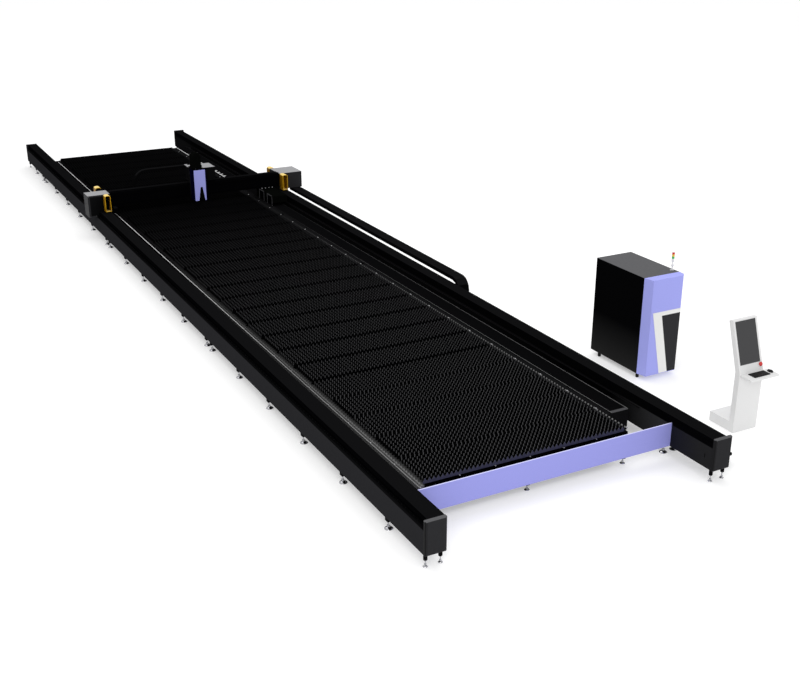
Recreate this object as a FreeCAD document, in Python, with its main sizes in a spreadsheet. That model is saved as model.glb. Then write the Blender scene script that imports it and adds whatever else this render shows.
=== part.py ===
import FreeCAD, Part
import os
import re

import Sketcher

# Gantry laser cutter for long sheets: two rails, slatted table, extraction duct,
# travelling gantry with a lifting cutting head, drag chains, source cabinet and console.
# All lengths are in millimetres. Positions in the sheet are measured from the outer
# face of the left rail, the near end of the rails and the floor.

os.makedirs("parts", exist_ok=True)
doc = FreeCAD.newDocument("laser_cutter")
sheet = doc.addObject("Spreadsheet::Sheet", "Dims")

SIZES = {
    # bed, seen from above
    "bed_w": 4841, "module_len": 7130, "near_bay": 936, "far_bay": 2112,
    # rails
    "rail_w": 300, "rail_floor": 191, "rail_low": 339, "recess_tall": 135, "ledge_w": 60, "rail_wall": 12,
    "seam": 0.5, "slot_w": 16, "slot_tall": 60, "slot_in": 187, "slot_up": 143,
    "cap_depth": 48, "cap_over": 4, "cap_under": 6, "cap_proud": 13, "cap_round": 20,
    "guide_tall": 28, "guide_proud": 26, "guide_up": 27, "guide_end": 40, "rack_side": 24, "rack_up": 88,
    "angle_side": 40, "angle_thick": 6, "angle_in": 654, "angle_drop": 195,
    # feet
    "foot_in": 133, "foot_gap": 280, "foot_back": 1008, "foot_inset": 50, "foot_box_w": 60,
    "foot_box_deep": 80, "foot_box_tall": 75, "stem_r": 12, "pad_r": 59, "pad_neck": 22, "pad_tall": 40,
    "end_leg_r": 27, "end_leg_out": 43, "end_leg_in": 254, "end_leg_y": 78, "end_leg_tall": 96,
    "end_stem_r": 9, "end_pad_r": 35, "end_pad_neck": 15, "end_pad_tall": 28,
    # cross beams
    "cross_ahead": 47, "cross_thick": 20, "cross_up": 4, "cross_tall": 365, "cross_flange": 70,
    "far_cross_in": 434, "far_cross_tall": 255, "tie_drop": 50, "tie_w": 60, "tie_up": 109,
    # table and slats
    "table_in": 109, "module_gap": 0.5, "table_inset": 220, "duct_bay": 666, "side_w": 60, "side_tall": 112,
    "slat_floor": 512, "slat_tall": 78, "slat_thick": 4, "slat_in": 35, "slat_inset": 40,
    "bar_in": 25, "bar_slack": 19, "bar_thick": 8, "bar_tall": 72, "beam_w": 60, "beam_tall": 60,
    "low_floor": 150, "low_tall": 30, "leg_w": 60, "table_stem_r": 10, "table_pad_r": 38,
    "table_pad_neck": 12, "table_pad_tall": 25, "table_leg_floor": 80, "pan_inset": 120, "pan_tall": 70,
    "pan_wall": 5, "pan_gap": 10, "runner_inset": 100, "runner_w": 40,
    # extraction duct
    "duct_gap": 15, "duct_w": 470, "duct_in": 704, "duct_back": 60, "duct_floor": 170, "duct_tall": 330,
    "duct_wall": 6, "belt_in": 168, "belt_edge": 8, "belt_over": 16, "belt_thick": 6, "lip_w": 5,
    "lip_tall": 14, "lip_gap": 3, "port_near": 600, "port_len": 360, "port_tall": 110, "port_up": 130,
    "hatch_in": 55, "hatch_w": 80, "hatch_len": 130, "hatch_a": 8125, "hatch_b": 12480, "outlet_r": 100,
    "outlet_wall": 4, "outlet_up": 150, "outlet_len": 160, "duct_leg_w": 50, "duct_leg_inset": 55,
    # long drag chain beside the right rail
    "ychain_out": 119, "ychain_w": 240, "ychain_thick": 75, "ychain_r": 262, "ychain_len": 12459,
    "ychain_reach": 10, "link_gap": 0.6, "tray_over": 12, "tray_near": 330, "tray_past": 200,
    "tray_thick": 4, "tray_lip": 40, "arm_thick": 12, "arm_w": 60, "arm_inset": 100, "arm_up": 60,
    "anchor_len": 110, "chain_rest": 1, "clamp_len": 140,
    # gantry
    "gantry_y": 15815, "gantry_deep": 265, "gantry_up": 86, "gantry_tall": 320, "beam_in": 35,
    "beam_back": 229, "stub_inset": 41, "stub_down": 40, "stub_left": 62, "stub_slack": 5,
    "gantry_wall": 12, "plate_up": 15, "plate_thick": 22, "car_back": 35, "car_len": 620, "car_side": 4,
    "car_in": 330, "cheek_tall": 142, "block_len": 120, "block_drop": 21, "block_tall": 70, "block_in": 52,
    "block_end": 10, "fit": 0.5, "pinion_r": 30, "mesh": 0.3, "pinion_tall": 28, "pinion_drop": 2,
    "shaft_r": 11, "shaft_fit": 2, "shaft_up": 20, "motor_in": 200, "gearbox_w": 90, "gearbox_tall": 88,
    "motor_w": 80, "motor_tall": 190, "ear_w": 60, "ear_len": 120, "notch_len": 90, "notch_drop": 20,
    "lcover_out": 190, "lcover_lap": 32, "lcover_ahead": 15, "lcover_len": 400, "lcover_drop": 132,
    "cover_down": 16, "cover_wall": 8, "cover_gap": 6, "rcover_gap": 8, "rcover_out": 389,
    "rcover_back": 25, "rcover_drop": 8, "rcover_short": 2, "bump_w": 135, "bump_wall": 24,
    "bump_ahead": 195, "bump_in": 165, "bump_back": 216, "bump_up": 10, "bump_tall": 385,
    "bump_round": 30, "bump_gap": 2, "bump_rear_len": 200, "bump_mount": 30, "post_down": 35,
    "wiper_in": 15, "wiper_w": 90, "wiper_ahead": 245, "wiper_drop": 126, "wiper_bend": 120,
    "xguide_w": 23, "xguide_deep": 20, "xguide_in": 25, "xguide_back": 12, "xguide_up": 49,
    "xguide_down": 71, "xrack_in": 17, "xrack_w": 26, "xrack_tall": 22,
    "hood_in": 190, "hood_over": 90, "hood_ahead": 865, "hood_behind": 235, "hood_up": 80,
    "hood_down": 21, "hood_wall": 12, "hanger_inset": 40, "skirt_ahead": 395, "skirt_up": 20,
    "fin_w": 20, "fin_thick": 14, "fin_pitch": 170, "hood_bolt_r": 10, "hood_bolt_tall": 12,
    "hood_bolt_pitch": 92, "hood_bolt_in": 48, "hood_bolt_ahead": 25,
    # short drag chain behind the gantry
    "xchain_back": 135, "xchain_w": 120, "xchain_thick": 50, "xchain_up": 4, "xchain_r": 310,
    "xchain_ahead": 910, "xanchor_ahead": 70, "xtray_in": 15, "xtray_thick": 6, "xanchor_len": 100,
    "tray_edge": 8,
    # saddle and lift
    "sad_left": 2260, "sad_w": 330, "sad_ahead": 80, "sad_thick": 25, "sad_low": 4, "sad_up": 444,
    "box_in": 70, "box_w": 600, "box_ahead": 35, "box_deep": 470, "box_up": 36, "base_thick": 14,
    "box_tall": 324, "box_wall": 5, "box_lap": 6, "xblock_w": 80, "xblock_tall": 60, "xblock_in": 8,
    "xblock_gap": 12, "xmotor_in": 370, "xpinion_r": 28, "xshaft_r": 9, "xmotor_w": 80,
    "xmotor_len": 170, "xflange_in": 57, "xflange_thick": 14, "xflange_w": 100, "xflange_up": 14,
    "chain_lug_w": 70, "chain_lug_thick": 12, "chain_lug_in": 36, "way_gap": 5,
    "zrail_in": 58, "zrail_pitch": 182, "zrail_w": 20, "zrail_deep": 20, "zrail_up": 24,
    "zrail_over": 354, "screw_in": 159, "screw_ahead": 27, "screw_r": 8, "screw_up": 106,
    "screw_down": 2, "screw_fit": 0.4, "bearing_w": 60, "bearing_deep": 18, "bearing_tall": 25,
    "bearing_down": 38, "column_in": 40, "column_w": 220, "column_ahead": 175, "column_lap": 25,
    "column_tall": 365, "column_wall": 5, "tongue_down": 30, "zmotor_w": 80, "zmotor_gap": 10,
    "zmotor_tall": 170, "zplate_ahead": 79, "zplate_thick": 25, "zplate_out": 2, "zplate_up": 94,
    "zplate_over": 334, "zblock_w": 56, "zblock_gap": 8, "zblock_tall": 300, "zblock_up": 234,
    "nut_w": 48, "nut_gap": 5, "nut_up": 334, "nut_tall": 50, "head_ahead": 205, "head_w": 116,
    "head_box_up": 414, "head_box_tall": 220, "head_r": 40, "head_up": 134, "taper_tall": 40,
    "collar_out": 9, "collar_down": 60, "collar_tall": 24, "head_arm_w": 90, "head_arm_up": 454,
    "head_arm_tall": 120, "nozzle_r": 24, "nozzle_tip": 6, "nozzle_down": 21, "nozzle_up": 34,
    "nozzle_bore": 2, "hcover_w": 322, "hcover_ahead": 335, "hcover_wall": 6, "hcover_down": 16,
    "hcover_tall": 740, "slot_rise": 310, "slot_low_half": 78, "slot_high_half": 26, "slot_offset": 24,
    # cabinet and signal tower
    "cab_aside": 1124, "cab_w": 735, "cab_wall": 20, "door_gap": 0.5, "door_wall": 10, "cab_y": 3380,
    "cab_deep": 1260, "cab_floor": 90, "cab_tall": 1690, "fascia_ahead": 180, "fascia_in": 47,
    "fascia_out": 64, "fascia_step": 35, "fascia_edge": 7, "fascia_turn": 62, "panel_thick": 6,
    "panel_in": 85, "panel_down": 568, "panel_band": 72, "panel_up": 10, "panel_foot_in": 325,
    "trim_gap": 1.5, "inset_thick": 3, "inset_in": 277, "inset_foot_in": 498, "cab_foot_r": 28,
    "cab_foot_inset": 60, "cab_foot_near": 43, "cab_foot_far": 177, "source_w": 540,
    "source_deep": 950, "source_tall": 600, "source_back": 60, "gear_w": 560, "gear_thick": 15,
    "gear_up": 710, "gear_tall": 850, "drive_w": 120, "drive_deep": 170, "drive_tall": 320,
    "drive_pitch": 135, "drive_down": 60, "tower_in": 62, "tower_back": 115, "tower_flange_r": 38,
    "tower_flange": 12, "tower_pole_r": 9, "tower_knuckle_r": 22, "tower_knuckle_up": 70,
    "tower_knuckle_tall": 35, "tower_core_r": 5, "tower_cap": 4, "housing_up": 150, "lens_r": 23,
    "lens_up": 205, "lens_tall": 37,
    # console
    "con_aside": 1084, "con_w": 470, "con_y": 1050, "con_slab": 95, "con_knee": 960, "con_lean": 824,
    "con_knee_up": 20, "con_top_drop": 20, "con_top_deep": 78, "con_base_deep": 510,
    "con_base_top": 165, "con_base_floor": 10, "lean_deg": 18.4, "screen_in": 35, "screen_w": 391,
    "screen_tall": 657, "screen_thick": 6, "screen_up": 137, "shelf_in": 10, "shelf_w": 557,
    "shelf_deep": 228, "shelf_down": 35, "shelf_lap": 4, "shelf_thick": 30, "key_in": 135,
    "key_w": 310, "key_ahead": 50, "key_deep": 150, "key_tall": 18, "mouse_in": 483,
    "mouse_ahead": 78, "mouse_w": 62, "mouse_len": 108, "mouse_tall": 32, "mouse_bevel": 12,
    "stop_in": 425, "stop_up": 90, "stop_r": 34, "stop_cap": 18, "stop_gap": 9, "stop_stem_r": 11,
    "stop_stem": 30, "stop_fit": 0.4, "stop_room": 20,
}

MODULE_COUNT = 3
FEET_COUNT = 6
CASSETTE_COUNT = 10
SLAT_COUNT = 10
BAR_COUNT = 5
PORT_COUNT = 9
DUCT_LEG_COUNT = 6
ARM_COUNT = 9
FIN_COUNT = 6
DRIVE_COUNT = 4
YLINK_UPPER_COUNT = 68
YLINK_LOWER_COUNT = 37
YLINK_BEND_COUNT = 3
XLINK_UPPER_COUNT = 11
XLINK_LOWER_COUNT = 9
XLINK_BEND_COUNT = 5

# places and heights that follow from the sizes above
PLACES = {
    "joint_near": "near_bay + module_len", "joint_mid": "near_bay + 2 * module_len",
    "joint_far": "near_bay + %d * module_len" % MODULE_COUNT, "bed_len": "joint_far + far_bay",
    "row_left": "0 - lcover_out", "row_right": "cab_left + cab_w",
    "ledge_top": "rail_floor + rail_low", "rail_top": "ledge_top + recess_tall",
    "cap_floor": "rail_floor - cap_under", "cap_top": "rail_top + cap_proud",
    "guide_floor": "ledge_top + guide_up", "rack_floor": "ledge_top + rack_up",
    "angle_near": "near_bay + angle_in", "angle_floor": "rail_top - angle_drop",
    "foot_near": "near_bay + foot_in", "foot_last": "bed_len - foot_back",
    "foot_pitch": "(module_len - foot_gap) / %d" % (FEET_COUNT - 1),
    "foot_box_floor": "rail_floor - foot_box_tall", "end_leg_floor": "rail_floor - end_leg_tall",
    "cross_y": "near_bay - cross_ahead", "cross_floor": "rail_floor + cross_up",
    "cross_top": "cross_floor + cross_tall", "far_cross_y": "joint_far + far_cross_in",
    "far_cross_top": "cross_floor + far_cross_tall", "tie_floor": "low_floor - tie_drop",
    "tie_top": "rail_floor + tie_up",
    "table_y": "near_bay + table_in", "table_left": "rail_w + table_inset",
    "table_right": "bed_w - rail_w - duct_bay", "side_floor": "slat_floor - side_tall",
    "slat_left": "table_left + slat_inset",
    "slat_right": "table_right - slat_inset", "slat_near": "table_y + slat_in",
    "cassette_len": "module_len / %d" % CASSETTE_COUNT, "slat_pitch": "cassette_len / %d" % SLAT_COUNT,
    "bar_left": "table_left + bar_in",
    "bar_pitch": "(table_right - table_left - bar_slack) / %d" % (BAR_COUNT + 1),
    "bar_floor": "slat_floor - bar_tall", "pan_left": "table_left + pan_inset",
    "pan_right": "table_right - pan_inset", "duct_left": "table_right + duct_gap",
    "duct_right": "duct_left + duct_w", "duct_near": "near_bay + duct_in",
    "duct_far": "far_cross_y - duct_back", "duct_top": "duct_floor + duct_tall",
    "belt_left": "duct_left + belt_in", "belt_right": "duct_right - belt_edge",
    "port_floor": "duct_floor + port_up", "hatch_x": "duct_left + hatch_in",
    "hatch_near": "duct_near + hatch_a", "hatch_far": "duct_near + hatch_b",
    "outlet_z": "duct_floor + outlet_up", "outlet_x": "(duct_left + duct_right) / 2",
    "port_pitch": "(duct_far - duct_near - 2 * port_near - port_len) / %d" % (PORT_COUNT - 1),
    "duct_leg_pitch": "(duct_far - duct_near - 2 * duct_leg_inset - duct_leg_w) / %d" % (DUCT_LEG_COUNT - 1),
    "arm_pitch": "(ychain_fixed + tray_past - tray_near - 2 * arm_inset - arm_w) / %d" % (ARM_COUNT - 1),
    "ychain_left": "bed_w + ychain_out", "ychain_top": "rail_top", "ychain_end": "car_y + ychain_reach",
    "ychain_fixed": "bed_len / 2", "ychain_bend": "(ychain_end + ychain_fixed - ychain_len) / 2",
    "ychain_mid": "ychain_top - ychain_r",
    "plate_floor": "rail_top + plate_up", "plate_top": "plate_floor + plate_thick",
    "gantry_floor": "plate_floor + gantry_up", "gantry_top": "gantry_floor + gantry_tall",
    "beam_left": "rail_w + beam_in", "beam_right": "bed_w - beam_back",
    "stub_top": "gantry_top - stub_down", "stub_near": "gantry_y + stub_inset",
    "stub_far": "gantry_y + gantry_deep - stub_inset + stub_slack", "car_y": "gantry_y + car_back",
    "car_side_floor": "plate_floor - cheek_tall", "block_floor": "guide_floor - block_drop",
    "pinion_x": "ledge_w - rack_side - mesh - pinion_r", "pinion_floor": "rack_floor - pinion_drop",
    "motor_y": "car_y + motor_in", "notch_floor": "pinion_floor - notch_drop",
    "lcover_right": "car_in", "lcover_y": "gantry_y - lcover_ahead", "lcover_split": "0 - lcover_lap",
    "lcover_floor": "plate_floor - lcover_drop", "lcover_far": "lcover_y + lcover_len",
    "cover_top": "gantry_top - cover_down", "rcover_left": "beam_right + rcover_gap",
    "rcover_right": "bed_w + rcover_out", "rcover_y": "gantry_y + rcover_back",
    "rcover_floor": "plate_floor - rcover_drop", "rcover_far": "car_y + car_len - rcover_short",
    "bump_left_x": "bump_in", "bump_right_x": "bed_w - bump_back", "bump_front": "gantry_y - bump_ahead",
    "bump_floor": "plate_floor + bump_up", "bump_rear": "car_y + car_len + bump_mount + bump_gap",
    "wiper_x": "beam_left + wiper_in", "wiper_y": "gantry_y - wiper_ahead",
    "wiper_floor": "gantry_floor - wiper_drop", "xguide_left": "beam_left + xguide_in",
    "xguide_right": "beam_right - xguide_back", "xguide_low": "gantry_floor + xguide_up",
    "xguide_high": "gantry_top - xguide_down", "xrack_y": "gantry_y + xrack_in",
    "hood_left": "duct_left + hood_in", "hood_right": "duct_right + hood_over",
    "hood_near": "gantry_y - hood_ahead", "hood_far": "gantry_y + hood_behind",
    "hood_floor": "duct_top + hood_up", "hood_top": "gantry_floor - hood_down",
    "skirt_near": "gantry_y - skirt_ahead", "skirt_floor": "duct_top + skirt_up",
    "xchain_y": "gantry_y + gantry_deep + xchain_back", "xchain_top": "box_top + xchain_up",
    "xchain_bend": "sad_left - xchain_ahead", "xchain_fixed": "sad_left - xanchor_ahead",
    "xtray_left": "beam_left + xtray_in", "xtray_top": "xchain_top - 2 * xchain_r - chain_rest",
    "sad_right": "sad_left + sad_w", "sad_y": "gantry_y - sad_ahead", "sad_back": "sad_y + sad_thick",
    "sad_floor": "gantry_floor + sad_low", "sad_top": "gantry_top + sad_up",
    "box_left": "sad_left + box_in", "box_right": "box_left + box_w", "box_y": "gantry_y - box_ahead",
    "box_far": "box_y + box_deep", "box_floor": "gantry_top + box_up", "box_top": "box_floor + box_tall",
    "xmotor_x": "sad_left + xmotor_in", "xflange_y": "gantry_y + xflange_in",
    "xmotor_y": "xflange_y + xflange_thick", "xpin_z": "gantry_top + xrack_tall + mesh + xpinion_r",
    "zrail_a": "sad_left + zrail_in", "zrail_b": "zrail_a + zrail_pitch",
    "zrail_floor": "gantry_floor + zrail_up", "zrail_top": "gantry_top + zrail_over",
    "screw_x": "sad_left + screw_in", "screw_y": "sad_y - screw_ahead",
    "screw_floor": "gantry_floor + screw_up", "screw_top": "sad_top - screw_down",
    "bearing_low": "screw_floor", "bearing_high": "sad_top - bearing_down",
    "column_left": "sad_left + column_in", "column_right": "column_left + column_w",
    "column_y": "sad_y - column_ahead", "column_floor": "sad_top - column_lap",
    "column_top": "column_floor + column_tall", "column_arch": "column_top - column_w / 2",
    "column_x": "column_left + column_w / 2",
    "zplate_y": "sad_y - zplate_ahead", "zplate_far": "zplate_y + zplate_thick",
    "zplate_left": "sad_left - zplate_out", "zplate_right": "zplate_left + hcover_w",
    "zplate_floor": "gantry_floor + zplate_up", "zplate_top": "gantry_top + zplate_over",
    "zblock_floor": "gantry_floor + zblock_up", "nut_floor": "gantry_floor + nut_up",
    "head_x": "screw_x", "head_y": "sad_y - head_ahead", "head_box_floor": "gantry_floor + head_box_up",
    "head_box_top": "head_box_floor + head_box_tall", "head_floor": "gantry_floor + head_up",
    "taper_floor": "head_floor - taper_tall", "head_arm_floor": "gantry_floor + head_arm_up",
    "nozzle_floor": "gantry_floor - nozzle_down", "nozzle_mid": "gantry_floor + nozzle_up",
    "hcover_left": "zplate_left", "hcover_y": "sad_y - hcover_ahead",
    "hcover_floor": "gantry_floor - hcover_down", "hcover_top": "hcover_floor + hcover_tall",
    "hcover_deep": "zplate_y - hcover_y", "slot_top": "gantry_floor + slot_rise",
    "slot_x": "hcover_left + hcover_w / 2 + slot_offset",
    "cab_left": "bed_w + cab_aside", "cab_top": "cab_floor + cab_tall", "cab_far": "cab_y + cab_deep",
    "fascia_y": "cab_y - fascia_ahead", "fascia_left": "cab_left + fascia_in",
    "fascia_right": "row_right - fascia_out", "fascia_deep": "fascia_ahead - door_gap",
    "panel_left": "cab_left + panel_in", "panel_top": "cab_top - panel_down",
    "panel_floor": "cab_floor + panel_up", "inset_left": "cab_left + inset_in",
    "gear_floor": "cab_floor + gear_up", "gear_y": "cab_far - cab_wall - gear_thick",
    "cab_mid": "cab_left + cab_w / 2", "tower_x": "row_right - tower_in", "tower_y": "cab_y + tower_back",
    "tower_knuckle": "cab_top + tower_knuckle_up", "housing_floor": "cab_top + housing_up",
    "lens_floor": "cab_top + lens_up",
    "con_left": "bed_w + con_aside", "screen_left": "con_left + screen_in",
    "shelf_left": "con_left + shelf_in", "shelf_y": "con_y - shelf_deep",
    "shelf_floor": "con_knee - shelf_down", "shelf_top": "shelf_floor + shelf_thick",
    "key_left": "con_left + key_in", "key_y": "shelf_y + key_ahead", "mouse_x": "con_left + mouse_in",
    "mouse_y": "shelf_y + mouse_ahead", "stop_x": "con_left + stop_in",
}

for row, (alias, value) in enumerate(SIZES.items(), start=1):
    sheet.set("A%d" % row, alias)
    sheet.set("B%d" % row, str(value))
    sheet.setAlias("B%d" % row, alias)
doc.recompute()

WORD = re.compile(r"[a-z_]+")


def ref(text):
    """Turn the names of sizes and places into references to the sheet."""
    def swap(match):
        word = match.group(0)
        if word in PLACES:
            return "(%s)" % ref(PLACES[word])
        return "Dims." + word if word in SIZES else word
    return WORD.sub(swap, str(text))


def bind(obj, **links):
    for prop, text in links.items():
        obj.setExpression(prop.replace("__", "."), ref(text))


def place(obj, x, y, z):
    """Put an object at a place measured from the left rail, near end and floor."""
    obj.setExpression("Placement.Base.x", ref("(%s) - (row_left + row_right) / 2" % x))
    obj.setExpression("Placement.Base.y", ref("(%s) - bed_len / 2" % y))
    obj.setExpression("Placement.Base.z", ref(z))
    return obj


def box(name, x, y, z, dx, dy, dz):
    obj = doc.addObject("Part::Box", name)
    bind(obj, Length=dx, Width=dy, Height=dz)
    return place(obj, x, y, z)


def span(name, x, xx, y, yy, z, zz):
    """A box given by its two corners."""
    return box(name, x, y, z, "(%s) - (%s)" % (xx, x), "(%s) - (%s)" % (yy, y), "(%s) - (%s)" % (zz, z))


AXES = {
    "z": FreeCAD.Rotation(),
    "x": FreeCAD.Rotation(FreeCAD.Vector(0, 1, 0), 90),
    "y": FreeCAD.Rotation(FreeCAD.Vector(1, 0, 0), -90),
}


def rod(name, x, y, z, radius, length, axis="z"):
    obj = doc.addObject("Part::Cylinder", name)
    obj.Placement.Rotation = AXES[axis]
    bind(obj, Radius=radius, Height=length)
    return place(obj, x, y, z)


def prism(name, x, y, z, radius, length, sides, axis="z"):
    """A bar with a regular section whose corners lie on the radius."""
    obj = doc.addObject("Part::Prism", name)
    obj.Placement.Rotation = AXES[axis]
    obj.Polygon = sides
    bind(obj, Circumradius=radius, Height=length)
    return place(obj, x, y, z)


def flats(radius, sides):
    """The corner radius of a regular hole whose flats touch the radius."""
    return "(%s) / cos(%s deg)" % (radius, 180 / sides)


def frustum(name, x, y, z, low, high, length):
    """An eight-sided tapered bar: what two square tapered bars have in common."""
    wedges = []
    for turn in (0, 45):
        obj = doc.addObject("Part::Wedge", "%s_%d" % (name, turn))
        spin = FreeCAD.Rotation(FreeCAD.Vector(0, 0, 1), turn)
        obj.Placement.Rotation = spin.multiply(FreeCAD.Rotation(FreeCAD.Vector(1, 0, 0), 90))
        foot, head = ["(%s) * cos(22.5 deg)" % radius for radius in (low, high)]
        bind(obj, Ymin="0", Ymax=length, Xmin="0 - " + foot, Xmax=foot, Zmin="0 - " + foot, Zmax=foot,
             X2min="0 - " + head, X2max=head, Z2min="0 - " + head, Z2max=head)
        wedges.append(place(obj, x, y, z))
    obj = doc.addObject("Part::Common", name)
    obj.Base, obj.Tool = wedges
    return obj


def fuse(name, *parts):
    obj = doc.addObject("Part::MultiFuse", name)
    obj.Shapes = list(parts)
    return obj


def cut(name, base, *tools):
    tool = tools[0] if len(tools) == 1 else fuse(name + "_tools", *tools)
    obj = doc.addObject("Part::Cut", name)
    obj.Base = base
    obj.Tool = tool
    return obj


def group(name, *parts):
    obj = doc.addObject("Part::Compound", name)
    obj.Links = list(parts)
    return obj


PLANES = {"XY": "XY_Plane", "XZ": "XZ_Plane", "YZ": "YZ_Plane"}


def outline(body, name, plane, loops):
    """Closed straight-sided loops on an origin plane, every corner set from the sheet."""
    sketch = body.newObject("Sketcher::SketchObject", name)
    support = [f for f in body.Origin.OriginFeatures if f.Role == PLANES[plane]][0]
    sketch.AttachmentSupport = [(support, "")]
    sketch.MapMode = "FlatFace"
    start = 0
    for loop in loops:
        count = len(loop)
        rough = [FreeCAD.Vector(100 + 10 * i, 100 + 7 * i * i, 0) for i in range(count)]
        for i in range(count):
            sketch.addGeometry(Part.LineSegment(rough[i], rough[(i + 1) % count]), False)
        for i in range(count):
            following = start + (i + 1) % count
            sketch.addConstraint(Sketcher.Constraint("Coincident", start + i, 2, following, 1))
        for i, corner in enumerate(loop):
            for kind, text in zip(("DistanceX", "DistanceY"), corner):
                index = sketch.addConstraint(Sketcher.Constraint(kind, -1, 1, start + i, 1, 50.0))
                sketch.setExpression("Constraints[%d]" % index, ref(text))
        start += count
    return sketch


def padded(name, plane, loops, depth, at):
    """A body padded from loops; XZ loops grow away from the viewer."""
    body = doc.addObject("PartDesign::Body", name)
    sketch = outline(body, name + "_outline", plane, loops)
    pad = body.newObject("PartDesign::Pad", name + "_pad")
    pad.Profile = sketch
    pad.Reversed = plane == "XZ"
    bind(pad, Length=depth)
    sketch.Visibility = False
    place(body, *at)
    return body


def bevelled(body, keep, size):
    """Bevel the edges of the body's tip that the test keeps."""
    doc.recompute()
    tip = body.Tip
    names = ["Edge%d" % i for i, e in enumerate(tip.Shape.Edges, start=1) if keep(e)]
    bevel = body.newObject("PartDesign::Chamfer", body.Name + "_bevel")
    bevel.Base = (tip, names)
    bind(bevel, Size=size)
    body.Tip = bevel
    return body


def along(edge, axis):
    a, b = edge.Vertexes[0].Point, edge.Vertexes[-1].Point
    step = (b - a)
    return step.Length > 1e-6 and abs(abs(step.normalize().dot(axis)) - 1) < 1e-6


def side_x(side, x, dx="0"):
    return x if side == "left" else "bed_w - (%s) - (%s)" % (x, dx)


def side_box(name, side, x, y, z, dx, dy, dz):
    """A box beside the left rail, or its mirror image beside the right rail."""
    return box(name, side_x(side, x, dx), y, z, dx, dy, dz)


NODES = []


def node(name, obj):
    obj.Label = name
    NODES.append(obj)
    return obj


SIDES = ("left", "right")

# ---------------------------------------------------------------- rails
JOINTS = ["cap_depth", "joint_near", "joint_mid", "joint_far", "bed_len - cap_depth"]


def tube_loops(side, low_x, low_z, high_z):
    """Cross-section of one welded tube of the rail: outline and closed cell."""
    loops = []
    for inset in ("0", "rail_wall"):
        a, b = "%s + %s" % (low_x, inset), "rail_w - %s" % inset
        c, d = "%s + %s" % (low_z, inset), "%s - %s" % (high_z, inset)
        loops.append([(a, c), (b, c), (b, d), (a, d)])
    if side == "right":
        loops = [[("rail_w - (%s)" % x, z) for x, z in loop] for loop in loops]
    return loops


for side in SIDES:
    pieces = []
    for k in range(len(JOINTS) - 1):
        length = "(%s) - (%s) - seam" % (JOINTS[k + 1], JOINTS[k])
        at = (side_x(side, "0", "rail_w"), JOINTS[k], "0")
        tag = "%s_%s" % (side, "abcd"[k])
        low = padded("rail_low_" + tag, "XZ", tube_loops(side, "0", "rail_floor", "ledge_top"), length, at)
        if k == 0:
            slot = side_box(side + "_slot", side, "rail_w - 2 * rail_wall", "slot_in - slot_w / 2",
                            "rail_floor + slot_up", "3 * rail_wall", "slot_w", "slot_tall")
            low = cut("rail_slotted_" + side, low, slot)
        high = padded("rail_high_" + tag, "XZ", tube_loops(side, "ledge_w", "ledge_top", "rail_top"),
                      length, at)
        pieces += [low, high]
    if side == "right":
        length = "joint_far - angle_near"
        foot = box("angle_foot", "bed_w - rail_w - angle_side", "angle_near",
                   "angle_floor + angle_side - angle_thick", "angle_side", length, "angle_thick")
        back = box("angle_back", "bed_w - rail_w - angle_thick", "angle_near", "angle_floor",
                   "angle_thick", length, "angle_side")
        pieces.append(fuse("angle_bar", foot, back))
    node(side + "_rail", group(side + "_rail_set", *pieces))

caps = []
for side in SIDES:
    for end, y in (("near", "0"), ("far", "bed_len - cap_depth")):
        body = padded("cap_%s_%s" % (side, end), "XY",
                      [[("0", "0"), ("rail_w + 2 * cap_over", "0"),
                        ("rail_w + 2 * cap_over", "cap_depth"), ("0", "cap_depth")]],
                      "cap_top - cap_floor", (side_x(side, "-cap_over", "rail_w + 2 * cap_over"), y,
                                              "cap_floor"))
        doc.recompute()
        far_y = 0.0 if end == "near" else SIZES["cap_depth"]
        bevelled(body, lambda e: all(abs(v.Point.y - far_y) < 1e-3 for v in e.Vertexes), "cap_round")
        caps.append(body)
node("rail_end_caps", group("caps", *caps))

guides = []
racks = []
for side in SIDES:
    strip = ("cap_depth + guide_end", "bed_len - 2 * cap_depth - 2 * guide_end")
    guides.append(side_box("guide_" + side, side, "ledge_w - guide_proud", strip[0], "guide_floor",
                           "guide_proud", strip[1], "guide_tall"))
    racks.append(side_box("rack_" + side, side, "ledge_w - rack_side", strip[0], "rack_floor",
                          "rack_side", strip[1], "rack_side"))
node("gantry_guide_rails", group("guides", *guides))
node("gear_racks", group("racks", *racks))

# ---------------------------------------------------------------- feet
legs = []
pads = []


def levelling_foot(tag, x, y, top, stem_r, pad_r, neck_r, pad_tall):
    """A square-necked stem standing on a domed pad."""
    pads.append(frustum("disc_" + tag, x, y, "0", pad_r, neck_r, pad_tall))
    pads.append(prism("stem_" + tag, x, y, pad_tall, stem_r, "(%s) - (%s)" % (top, pad_tall), 4))


def foot(tag, x, y):
    legs.append(box("bracket_" + tag, "(%s) - foot_box_w / 2" % x, "(%s) - foot_box_deep / 2" % y,
                    "foot_box_floor", "foot_box_w", "foot_box_deep", "foot_box_tall"))
    levelling_foot(tag, x, y, "foot_box_floor", "stem_r", "pad_r", "pad_neck", "pad_tall")


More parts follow.
